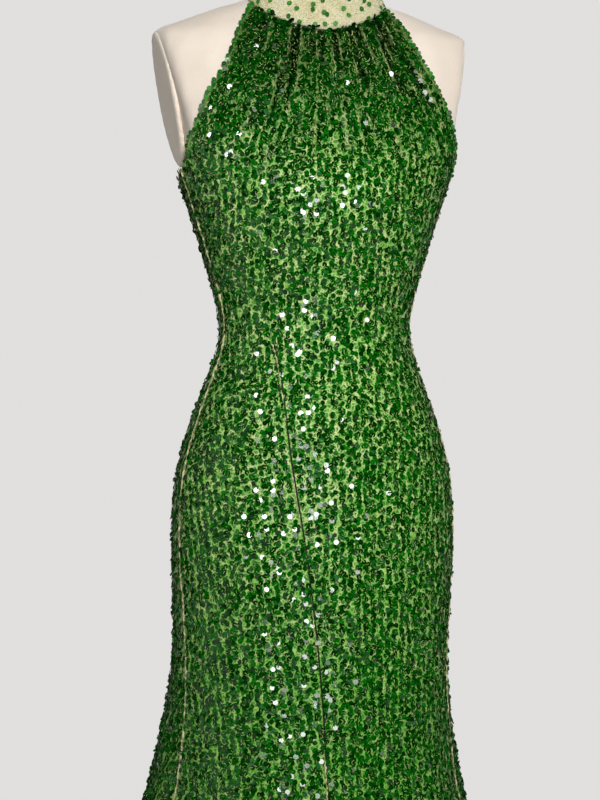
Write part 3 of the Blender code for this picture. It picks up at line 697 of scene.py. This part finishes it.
class PolarMap:
    """The gown's outer points round the axis: a row for each height, a column for each angle."""

    def __init__(self, middle):
        corners, faces, owners = [], [], []
        for owner, name in enumerate(PANELS):
            mesh = skins[name]
            start = len(corners)
            corners.extend(vertex.co for vertex in mesh.vertices)
            faces.extend([start + index for index in face.vertices] for face in mesh.polygons)
            owners.extend([owner] * len(mesh.polygons))
        tree = BVHTree.FromPolygons(corners, faces)
        self.heights = np.arange(HEM + 0.5 * MAP_STEP, NECK_TOP, MAP_STEP)
        self.angles = np.radians(np.linspace(-MAP_TURN, MAP_TURN, MAP_COLUMNS))
        across, along = np.sin(self.angles + middle), -np.cos(self.angles + middle)
        reach = np.full((len(self.heights), MAP_COLUMNS), np.nan)
        hits = np.full((*reach.shape, 3), np.nan)
        self.owner = np.full(reach.shape, -1)
        for row, height in enumerate(self.heights):
            start = axis_at(height)
            for column, (side, ahead) in enumerate(zip(across, along)):
                spot, facing, face, distance = tree.ray_cast(start, Vector((side, ahead, 0.0)))
                if spot is not None:
                    reach[row, column] = distance
                    hits[row, column] = facing
                    self.owner[row, column] = owners[face]
        self.bridge(reach)
        self.points = self.placed(reach, across, along)
        rise, swing = np.gradient(self.points, axis=(0, 1))
        normals = unit(np.cross(swing, rise))
        self.normals = np.where(np.isnan(normals), hits, normals)
        for line in reach:
            known = np.flatnonzero(~np.isnan(line))
            if len(known):
                line[:] = np.interp(np.arange(MAP_COLUMNS), known, line[known])
        steps = np.linalg.norm(np.diff(self.placed(reach, across, along), axis=1), axis=2)
        arcs = np.pad(np.cumsum(np.nan_to_num(steps), axis=1), ((0, 0), (1, 0)))
        self.arcs = arcs - arcs[:, MAP_COLUMNS // 2][:, None]

    def placed(self, reach, across, along):
        """The points at these distances from the axis."""
        return np.stack((reach * across, AXIS_Y + reach * along,
                         np.broadcast_to(self.heights[:, None], reach.shape)), axis=2)

    def bridge(self, reach):
        """Closes the hairline gaps along the seams, where a ray slips between two panels."""
        for row in range(len(reach)):
            found = np.flatnonzero(self.owner[row] >= 0)
            for before, after in zip(found[:-1], found[1:]):
                if 1 < after - before <= BRIDGED:
                    share = np.arange(1, after - before) / (after - before)
                    reach[row, before + 1:after] = (reach[row, before] * (1.0 - share)
                                                    + reach[row, after] * share)
                    self.owner[row, before + 1:after] = self.owner[row, before]

    def span(self, row, name):
        """First and last column of a panel at a row, or None where it has none."""
        found = np.flatnonzero(self.owner[row] == PANELS.index(name))
        return (found[0], found[-1]) if len(found) > 2 else None


front_map = PolarMap(0.0)
back_map = PolarMap(math.pi)


# --- Sequins ---

def row_values(chart, row, name):
    """Which sewn row runs through each column: rows keep their distance, and lean or bunch."""
    values = chart.arcs[row].copy()
    height = chart.heights[row]
    if name == "front_right":
        values += LEAN * max(height - LEAN_FROM, 0.0)
    if name == "front_main" and height > GATHER_FROM:
        fan = GATHER_HALF / half_width(row)
        blend = min((height - GATHER_FROM) / GATHER_BLEND, 1.0)
        values *= 1.0 + (fan - 1.0) * blend
    return values


def half_width(row):
    """Half of the bodice's width along the cloth at a row of the map."""
    first, last = front_map.span(row, "front_main")
    return 0.5 * (front_map.arcs[row, last] - front_map.arcs[row, first])


GATHER_HALF = half_width(int(np.searchsorted(front_map.heights, GATHER_FROM)))


def margins(name, height):
    """How far sequins stay from the panel's two edges, in the order of the map's angles."""
    slant = SLANT_CLEAR if SLANT_OPEN[0] < height < SLANT_OPEN[1] else SLANT_MARGIN
    if height > SLANT_SHOWS:
        slant = -SLANT_MARGIN
    if name == "front_main":
        if height > UNDERARM:
            return EDGE_MARGIN, EDGE_MARGIN
        return (slant if height < SLANT_TOP else SIDE_MARGIN), SIDE_MARGIN
    if name == "front_right":
        return SIDE_MARGIN, slant
    return (BACK_MARGIN, SIDE_MARGIN) if name == "back_right" else (SIDE_MARGIN, BACK_MARGIN)


def sewn_rows(chart, name):
    """Each row up the panel as a table with a line for each height.

    Columns: height, x, y, z, the normal's x, y, z, the room to the panel's two edges and
    the distance to the next row.
    """
    found = {}
    for row, height in enumerate(chart.heights):
        ends = chart.span(row, name)
        known = np.flatnonzero(~np.isnan(chart.normals[row, :, 0]))
        if ends is None:
            continue
        first = max(ends[0] - SPARE_COLUMNS, known[0])
        last = min(ends[1] + SPARE_COLUMNS, known[-1])
        columns = slice(first, last + 1)
        values = row_values(chart, row, name)[columns]
        arcs = chart.arcs[row, columns]
        numbers = np.arange(math.ceil(values[0] / ROW_PITCH), math.floor(values[-1] / ROW_PITCH) + 1)
        place = np.interp(numbers * ROW_PITCH, values, np.arange(len(values)))
        stack = np.column_stack((chart.points[row, columns], chart.normals[row, columns], arcs))
        lines = sampled(stack, np.arange(len(values)), place)
        arc = lines[:, 6]
        low_margin, high_margin = margins(name, height)
        room = (arc - chart.arcs[row, ends[0]] - low_margin,
                chart.arcs[row, ends[1]] - high_margin - arc)
        gap = np.gradient(arc) if len(arc) > 1 else np.full(len(arc), ROW_PITCH)
        for number, *line in zip(numbers, *lines.T[:6], *room, gap):
            if not np.isnan(line).any():
                found.setdefault(int(number), []).append((height, *line))
    rows = []
    for number in sorted(found):
        table = np.array(found[number])
        breaks = np.flatnonzero(np.diff(table[:, 0]) > 1.5 * MAP_STEP) + 1
        rows.extend(part for part in np.split(table, breaks) if len(part) > 2)
    return rows


def parted(spots):
    """How far each sequin is pushed aside by the bare crests of the pleats."""
    total = np.zeros(len(spots))
    for pleat in PLEATS:
        away, strength = beside(spots, pleat)
        bare = (0.7 * pleat[3] + 0.4 * SEQUIN_RADIUS) * np.sqrt(strength)
        push = bare * np.clip(1.0 - np.abs(away) / STREAK_REACH, 0.0, 1.0)
        total += np.where(away < 0.0, -push, push)
    return total


def row_sequins(table, step, gathered):
    """Centres, normals, row directions and looseness of the sequins sewn along one row."""
    run = run_along(table[:, 1:4])
    start = RANDOM.uniform(0.2, 0.8) * step
    count = max(int((run[-1] - start) / step) + 1, 1)
    stations = start + step * np.arange(count) + RANDOM.normal(0.0, STRAY_ALONG, count)
    stations = np.clip(stations, 0.0, run[-1])
    lines = sampled(table, run, stations)
    centre, normal, gap = lines[:, 1:4], unit(lines[:, 4:7]), lines[:, 9]
    along = unit(sampled(np.gradient(table[:, 1:4], run, axis=0), run, stations))
    across = np.cross(along, normal)
    side = np.where(np.arange(count) % 2 == 0, 1.0, -1.0)
    squeeze = np.clip(gap / ROW_PITCH, TIGHTEST, 1.0)
    offset = side * ROW_HALF * squeeze + RANDOM.normal(0.0, STRAY_ACROSS, count)
    shift = np.full(count, RANDOM.normal(0.0, ROW_STRAY))
    for reach, length in ROW_WANDERS:
        phase = RANDOM.uniform(0.0, 2.0 * math.pi)
        shift += reach * np.sin(stations * 2.0 * math.pi / length + phase)
    offset += shift * squeeze
    loose = np.full(count, LOOSE_SHARE)
    if gathered:
        offset += parted(centre)
        up = np.clip((lines[:, 0] - GATHER_FROM) / LOOSEN_OVER, 0.0, 1.0)
        loose += (LOOSE_IN_GATHERS - LOOSE_SHARE) * up
    lost = np.interp(lines[:, 0], LOST_HEIGHTS, LOST_SHARE)
    kept = RANDOM.random(count) < np.clip(CROWDING * gap / ROW_PITCH, 0.0, 1.0) - lost
    kept &= (lines[:, 7] + offset > 0.0) & (lines[:, 8] - offset > 0.0)
    centre = centre + across * offset[:, None]
    return centre[kept], normal[kept], along[kept], loose[kept]


def sequin_template():
    """Corners and triangles of one flat sequin with its centre hole, radius 1."""
    rim = [(math.cos(turn), math.sin(turn)) for turn in np.arange(8) * math.pi / 4]
    hole = SEQUIN_HOLE / SEQUIN_RADIUS
    eye = [(hole * math.cos(turn), hole * math.sin(turn))
           for turn in (np.arange(3) + 0.5) * math.pi / 1.5]
    faces = []
    for corner in range(8):
        near, far = 8 + 3 * corner // 8, 8 + 3 * (corner + 1) // 8 % 3
        after = (corner + 1) % 8
        faces.append((corner, after, near))
        if near != far:
            faces.append((after, far, near))
    return np.array([(x, y, 0.0) for x, y in rim + eye]), np.array(faces)


# one stitch, from the hole to past the rim
STITCH = (np.array(((-0.08, 0.0, 0.12), (-0.08, -1.15, 0.03), (0.08, -1.15, 0.03), (0.08, 0.0, 0.12))),
          np.array(((0, 1, 2), (0, 2, 3))))


def scatter(panel, name, template, spots, normals, alongs, sizes, material):
    """One piece with a copy of the template at each spot, its z along the normal."""
    shape, faces = template
    along = unit(alongs - normals * np.sum(alongs * normals, axis=1, keepdims=True))
    across = np.cross(normals, along)
    base = np.stack((across, along, normals), axis=2) * sizes[:, None, None]
    corners = spots[:, None] + np.einsum("nij,kj->nki", base, shape)
    links = faces + (np.arange(len(spots)) * len(shape))[:, None, None]
    return sew(panel, name, corners.reshape(-1, 3), links.reshape(-1, faces.shape[1]), material)


def tilted(normals, spread):
    """Normals turned by small random angles; spread is in degrees, one for each."""
    return unit(normals + RANDOM.normal(0.0, 1.0, normals.shape) * np.radians(spread)[:, None])


def place_sequins(panel, name, sewn, material=SEQUIN, thread=None):
    """Sewn sequins as one piece, each a little loose, and their stitches as another."""
    spots, normals, alongs, shares = (np.concatenate(parts) for parts in zip(*sewn))
    count = len(spots)
    loose = RANDOM.random(count) < shares
    facing = tilted(normals + alongs * math.tan(math.radians(SHINGLE)),
                    np.where(loose, LOOSE_TILT, FLAT_TILT))
    lift = SEQUIN_LIFT + RANDOM.uniform(*LIFT_STRAY, count) + np.where(loose, LOOSE_LIFT, 0.0)
    spots = spots + normals * lift[:, None]
    sizes = SEQUIN_RADIUS * RANDOM.uniform(*SEQUIN_SIZES, count)
    discs = scatter(panel, name, sequin_template(), spots, facing, alongs, sizes, material).data
    discs.shade_flat()
    # sequins on the bodice get painted shade down in the pleats' ditches
    if name.startswith("front_main"):
        store_fold_shade(discs, np.repeat(pleated(spots)[1], len(discs.vertices) // count))
    if thread:
        turn = np.radians(RANDOM.normal(0.0, STITCH_TURN, count))[:, None]
        ways = alongs * np.cos(turn) + np.cross(alongs, facing) * np.sin(turn)
        seen = RANDOM.random(count) < STITCH_SHARE
        scatter(panel, name + "_stitches", STITCH, spots[seen], facing[seen], ways[seen], sizes[seen],
                thread)


sewn_on = {name: [] for name in FLATS}
for panel in PANELS:
    chart, step = (front_map, SEQUIN_STEP) if panel.startswith("front") else (back_map, BACK_STEP)
    sewn = [row_sequins(table, step, panel == "front_main") for table in sewn_rows(chart, panel)]
    place_sequins(panel, panel + "_sequins", sewn, thread=STITCH_THREAD)


# --- Panels of net ---

def panel_cloth(name, material, thickness):
    """The panel's own cloth: its skin with a real thickness inwards."""
    made = piece(name + "_cloth", skins[name].copy(), material)
    modified(made, SOLIDIFY=dict(thickness=thickness, offset=-1.0))
    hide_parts(name)
    return made


cloths = {panel: panel_cloth(panel, NET, NET_THICKNESS) for panel in PANELS}
cloths["collar"] = panel_cloth("collar", COLLAR_NET, COLLAR_THICKNESS)


# --- Seams and edges ---

def border(mesh):
    """Points and normals round the panel's border, walked with the panel on the left."""
    shape = bmesh.new()
    shape.from_mesh(mesh)
    onward = {}
    for edge in shape.edges:
        if edge.is_boundary:
            side = edge.link_loops[0]
            onward.setdefault(side.vert.index, []).append(side.link_loop_next.vert.index)
    longest = []
    while onward:
        corner = min(onward)
        loop = []
        while corner in onward:
            loop.append(corner)
            following = onward[corner].pop()
            if not onward[corner]:
                del onward[corner]
            corner = following
        longest = max(longest, loop, key=len)
    shape.free()
    return [part[longest] for part in surface_of(mesh)]


def stretch(line, keep):
    """The longest unbroken stretch of a closed border where the test holds."""
    spots, normals = line
    test = keep(spots[:, 0], spots[:, 2])
    shift = -int(np.argmin(test))
    spots, normals, test = (np.roll(part, shift, axis=0) for part in (spots, normals, test))
    marks = np.flatnonzero(np.diff(np.pad(test.astype(int), 1)))
    starts, ends = marks[::2], marks[1::2]
    best = int(np.argmax(ends - starts))
    run = slice(starts[best], ends[best])
    return spots[run], normals[run]


def evenly(line, step):
    """Points, normals and directions at every step along the stretch."""
    spots, normals = line
    run = run_along(spots)
    stations = np.linspace(0.0, run[-1], max(int(run[-1] / step), 2))
    spots = sampled(spots, run, stations)
    return spots, unit(sampled(normals, run, stations)), unit(np.gradient(spots, axis=0))


def strand(line, radius, lift=0.0, shift=0.0, uneven=0.0):
    """Corners and quads of a cord along a stretch, lifted off it and shifted to its right.

    uneven makes it lumpy, as sewn net is.
    """
    spots, normals, along = evenly(line, 3.0 * radius)
    across = unit(np.cross(along, normals))
    up = np.cross(across, along)
    count = len(spots)
    girth = radius * (1.0 + uneven * RANDOM.uniform(-1.0, 1.0, count))
    girth[[0, -1]] *= 0.4
    shifts = shift + uneven * radius * RANDOM.uniform(-1.0, 1.0, count)
    spots = spots + normals * lift + across * shifts[:, None]
    turns = np.arange(CORD_SIDES) * 2.0 * math.pi / CORD_SIDES
    ring = across[:, None] * np.cos(turns)[:, None] + up[:, None] * np.sin(turns)[:, None]
    corners = spots[:, None] + ring * girth[:, None, None]
    first = np.arange(count * CORD_SIDES).reshape(count, CORD_SIDES)
    second = np.roll(first, -1, axis=1)
    faces = np.stack((first[:-1], second[:-1], second[1:], first[1:]), axis=2)
    return corners.reshape(-1, 3), faces.reshape(-1, 4)


def gather_crests():
    """The net bunched along the crests of the pleats, as one mesh of lumpy strands."""
    corners, faces, count = [], [], 0
    heights = front_map.heights
    for share, top, bottom, _, _ in PLEATS:
        rows = np.flatnonzero((heights > bottom) & (heights < top + CREST_PAST))
        turns = (2.0 * share - 1.0) * arm_angle(heights[rows])
        columns = np.interp(turns, front_map.angles, np.arange(MAP_COLUMNS)).round().astype(int)
        spots, normals = front_map.points[rows, columns], front_map.normals[rows, columns]
        known = ~np.isnan(spots + normals).any(axis=1)
        made = strand((spots[known], unit(normals[known])), CREST_RADIUS, CREST_LIFT,
                      uneven=CREST_UNEVEN)
        corners.append(made[0])
        faces.append(made[1] + count)
        count += len(made[0])
    sew("front_main", "gather_crests", np.concatenate(corners), np.concatenate(faces), CREST_THREAD)


def edge_sequins(line, inset=EDGE_INSET, flop=0.0):
    """A row of sequins along a bound edge, so close to it that they scallop it."""
    spots, normals, along = evenly(line, EDGE_STEP)
    side = np.cross(normals, along)
    inset = inset + RANDOM.normal(0.0, STRAY_ALONG, len(spots))
    inset += RANDOM.uniform(*EDGE_STRAY, len(spots))
    facing = unit(normals + flop * np.array((0.0, -1.0, 0.0)))
    return spots + side * inset[:, None], facing, along, np.full(len(spots), LOOSE_IN_GATHERS)


borders = {panel: border(skins[panel]) for panel in PANELS}
front = borders["front_main"]
NECK_HALF = front[0][front[0][:, 2] > NECK_TOP - 2.0 * NEARLY][:, 0].max()


def split_back(name):
    """A back panel's side seam and its low cut edge, which meet at the underarm."""
    spots, normals = stretch(borders[name], lambda x, z: (np.abs(x) > SEAM_LINE) & (z > ABOVE_HEM))
    top = int(np.argmax(spots[:, 2]))
    parts = [(spots[:top + 1], normals[:top + 1]), (spots[top:], normals[top:])]
    return parts if parts[0][0][0, 2] < parts[1][0][-1, 2] else parts[::-1]


def add_cord(panel, name, line, radius, material, **details):
    """A raised cord or rolled edge on a panel, as strand makes it."""
    sew(panel, name, *strand(line, radius, **details), material)


for side, sign in (("left", 1.0), ("right", -1.0)):
    line = stretch(front, lambda x, z: (z > UNDERARM - NEARLY) & (sign * x > NECK_HALF - NEARLY))
    add_cord("front_main", "armhole_" + side, line, 0.0011, EDGE_THREAD)
    sewn = edge_sequins(line, flop=FRONTWARDS)
    place_sequins("front_main", "armhole_sequins_" + side, [sewn], EDGE_SEQUIN)
    panel = "back_" + side
    seam, cut = split_back(panel)
    add_cord(panel, "side_seam_" + side, seam, 0.0011, SIDE_THREAD, lift=0.0005, uneven=0.7)
    add_cord(panel, "back_edge_" + side, cut, 0.0012, EDGE_THREAD)
    place_sequins(panel, "back_edge_sequins_" + side, [edge_sequins(cut)])
gather_crests()
neck = stretch(front, lambda x, z: (z > NECK_LOW) & (np.abs(x) < NECK_HALF - NECK_MARGIN))
for inset in NECK_ROWS:
    place_sequins("front_main", "neck_sequins_%d" % (1000 * inset), [edge_sequins(neck, inset)])
for panel in PANELS:
    hem = stretch(borders[panel], lambda x, z: z < HEM + 0.002)
    add_cord(panel, panel + "_hem", hem, 0.0012, EDGE_THREAD)


def slanting(low, high):
    """The slanting seam between two heights."""
    return stretch(front, lambda x, z: (x < 0.0) & (z > low) & (z < high))


# painted shadow along the slanting seam's groove, as a dark cord
add_cord("front_main", "slanting_seam_shadow", slanting(ABOVE_HEM, SLANT_SHOWS), 0.0008, SEAM_SHADOW,
         lift=0.0004, shift=-0.0007)
for number, (low, high) in enumerate(SLANT_PALE):
    add_cord("front_main", "slanting_seam_%d" % number, slanting(low, high), 0.0008, THREAD,
             lift=0.0010, uneven=0.9, shift=0.0012)
middle = stretch(borders["back_left"], lambda x, z: (np.abs(x) < SEAM_LINE) & (z > ABOVE_HEM))
add_cord("back_left", "centre_back_seam", middle, 0.0009, THREAD, lift=0.0002, uneven=0.25)


# --- Beading of the collar ---

def bead_template():
    """A small faceted bead, four sided, radius 1, sitting on its base."""
    corners = ((1.0, 0.0, 0.1), (0.0, 1.0, 0.1), (-1.0, 0.0, 0.1), (0.0, -1.0, 0.1),
               (0.0, 0.0, 0.9), (0.0, 0.0, -0.7))
    upper = [(corner, (corner + 1) % 4, 4) for corner in range(4)]
    lower = [((corner + 1) % 4, corner, 5) for corner in range(4)]
    return np.array(corners), np.array(upper + lower)


def collar_spots(tree, spacing, stray, margin):
    """Points, normals and upward directions scattered evenly over the collar's outside."""
    low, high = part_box("collar")
    rings = int((high.z - low.z) / spacing)
    round_it = int(math.pi * (high.x - low.x) / spacing)
    found = []
    for ring, step in np.ndindex(rings, round_it):
        turn = (step + 0.5 * (ring % 2) + RANDOM.uniform(-stray, stray)) / round_it * 2.0 * math.pi
        height = low.z + (ring + 0.5 + RANDOM.uniform(-stray, stray)) * spacing
        hits = [tree.ray_cast(axis_at(height + shift), outward(turn))
                for shift in (0.0, margin, -margin)]
        if all(hit[0] is not None for hit in hits):
            found.append(hits[0][:2])
    spots, normals = (np.array(part) for part in zip(*found))
    return spots, normals, np.tile((0.0, 0.0, 1.0), (len(spots), 1))


def bead_collar():
    """Seed beads all over the collar, and scattered sequins, each held by a bead."""
    shape = bmesh.new()
    shape.from_mesh(skins["collar"])
    tree = BVHTree.FromBMesh(shape)
    shape.free()
    spots, normals, alongs = collar_spots(tree, *BEAD_GRID)
    sizes = BEAD_RADIUS * RANDOM.uniform(*BEAD_SIZES, len(spots))
    facing = tilted(normals, np.full(len(spots), BEAD_TILT))
    scatter("collar", "collar_beads", bead_template(), spots + normals * BEAD_LIFT, facing, alongs,
            sizes, BEAD)
    spots, normals, alongs = collar_spots(tree, *COLLAR_SEQUIN_GRID)
    sewn = (spots + normals * COLLAR_SEQUIN_LIFT, normals, alongs, np.full(len(spots), LOOSE_SHARE))
    place_sequins("collar", "collar_sequins", [sewn], COLLAR_SEQUIN)
    scatter("collar", "collar_sequin_eyes", bead_template(), spots + normals * EYE_LIFT, normals,
            alongs, np.full(len(spots), EYE_RADIUS), COLLAR_EYE)


bead_collar()


# --- Dress form ---

def padded_shoulders(spots, rise, reach):
    """The form's points, raised and reaching out towards the shoulders' tips."""
    side, height = np.abs(spots[:, 0]), spots[:, 2]
    up = eased((height - SHOULDER_LOW) / (SHOULDER_HIGH - SHOULDER_LOW))
    inside = TIP_PLACE + TIP_LEAN * (height - TIP_HEIGHT) - side
    rises = rise * up * eased((side - SHOULDER_FROM) / SHOULDER_OVER)
    spots[:, 0] += np.sign(spots[:, 0]) * reach * up * eased(1.0 - inside / TIP_OVER)
    spots[:, 2] += rises
    return spots


def cover(name, voxel, rounds, rise, reach=0.0, slim=1.0):
    """A closed solid remeshed fine and smoothed, as its jersey cover rounds it off."""
    made = piece(name + "_cover", NODES[name].data.copy(), JERSEY)
    mesh = modified(made, REMESH=dict(mode="VOXEL", voxel_size=voxel),
                    SMOOTH=dict(factor=0.5, iterations=rounds))
    spots = padded_shoulders(vectors(mesh.vertices, "co"), rise, reach)
    middle = 0.5 * (spots[:, 1].min() + spots[:, 1].max())
    spots[:, 1] = middle + (spots[:, 1] - middle) * slim
    move(mesh, spots)
    mesh.shade_smooth()
    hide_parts(name)


cover("form_torso", 0.0064, 5, SHOULDER_RISE, reach=TIP_REACH)
for side in ("left", "right"):
    cover("form_arm_plate_" + side, 0.0030, 8, PLATE_RISE, slim=PLATE_SLIM)

for finish, nodes in ((wood_material(), ("form_neck_cap",)),
                      (stand_material(), ("stand_pole", "stand_base")),
                      (zip_material(), ("zip_slider", "zip_pull"))):
    for node in nodes:
        paint(NODES[node].data, finish)


# --- Studio ---

def aim(thing, way):
    given(thing, rotation_mode="QUATERNION", rotation_quaternion=way.to_track_quat("-Z", "Y"))


def lay_floor():
    """A wide disc of pale paper."""
    disc = bmesh.new()
    bmesh.ops.create_circle(disc, cap_ends=True, segments=64, radius=FLOOR_RADIUS)
    mesh = bpy.data.meshes.new("floor")
    disc.to_mesh(mesh)
    disc.free()
    paper = Shader("floor_paper", Roughness=0.9)
    shade = paper.ramp(paper.noise(0.5, 3.0), (0.3, (214, 212, 206)), (0.7, (220, 218, 212)))
    mesh.materials.append(paper.finish(Base_Color=shade))
    in_scene("floor", mesh)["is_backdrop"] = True


def hang_lamp(name, azimuth, height, distance, size, power, mirrored=True, lit=True, aim_at=1.0,
              spread=180.0):
    """A square soft box, its beam aimed at this height of the gown and this many degrees wide.

    mirrored says if gloss shows it, and lit if it brightens what it falls on.
    """
    made = given(bpy.data.lights.new(name, "AREA"), size=size, energy=power,
                 spread=math.radians(spread))
    place = axis_at(height) + outward(math.radians(azimuth)) * distance
    box = given(in_scene(name, made), visible_glossy=mirrored, visible_diffuse=lit, location=place)
    aim(box, axis_at(aim_at) - box.location)


def light_wall():
    """A pale wall all round, which lights the gown a little and hardly shows in its gloss."""
    sky = Shader("studio", bpy.data.worlds, "Background", Color=WALL_LIGHT)
    rays = sky.node("LightPath", {}).outputs
    strength = SKY_FILL
    for ray, seen in (("Is Glossy Ray", SKY_GLOSS), ("Is Camera Ray", SKY_WALL)):
        choice = sky.node("MapRange", {"Value": rays[ray], "To Min": strength, "To Max": seen})
        strength = choice.outputs["Result"]
    bpy.context.scene.world = sky.finish(Strength=strength)


def place_camera():
    """The photograph's view."""
    lens = bpy.data.cameras.new("camera")
    made = in_scene("camera", lens)
    turn = math.radians(CAMERA_AZIMUTH)
    back, right = outward(turn), outward(turn + 0.5 * math.pi)
    made.location = axis_at(CAMERA_HEIGHT) + back * CAMERA_DISTANCE - right * CAMERA_SIDE
    aim(made, -back)
    lens.sensor_width = 36.0
    lens.lens = lens.sensor_width * CAMERA_DISTANCE / (PHOTO_HEIGHT * PIXEL)
    bpy.context.scene.camera = made


lay_floor()
for *place, differences in LAMPS:
    hang_lamp(*place, **differences)
light_wall()
place_camera()
bpy.context.scene.view_settings.view_transform = "Standard"

low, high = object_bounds()
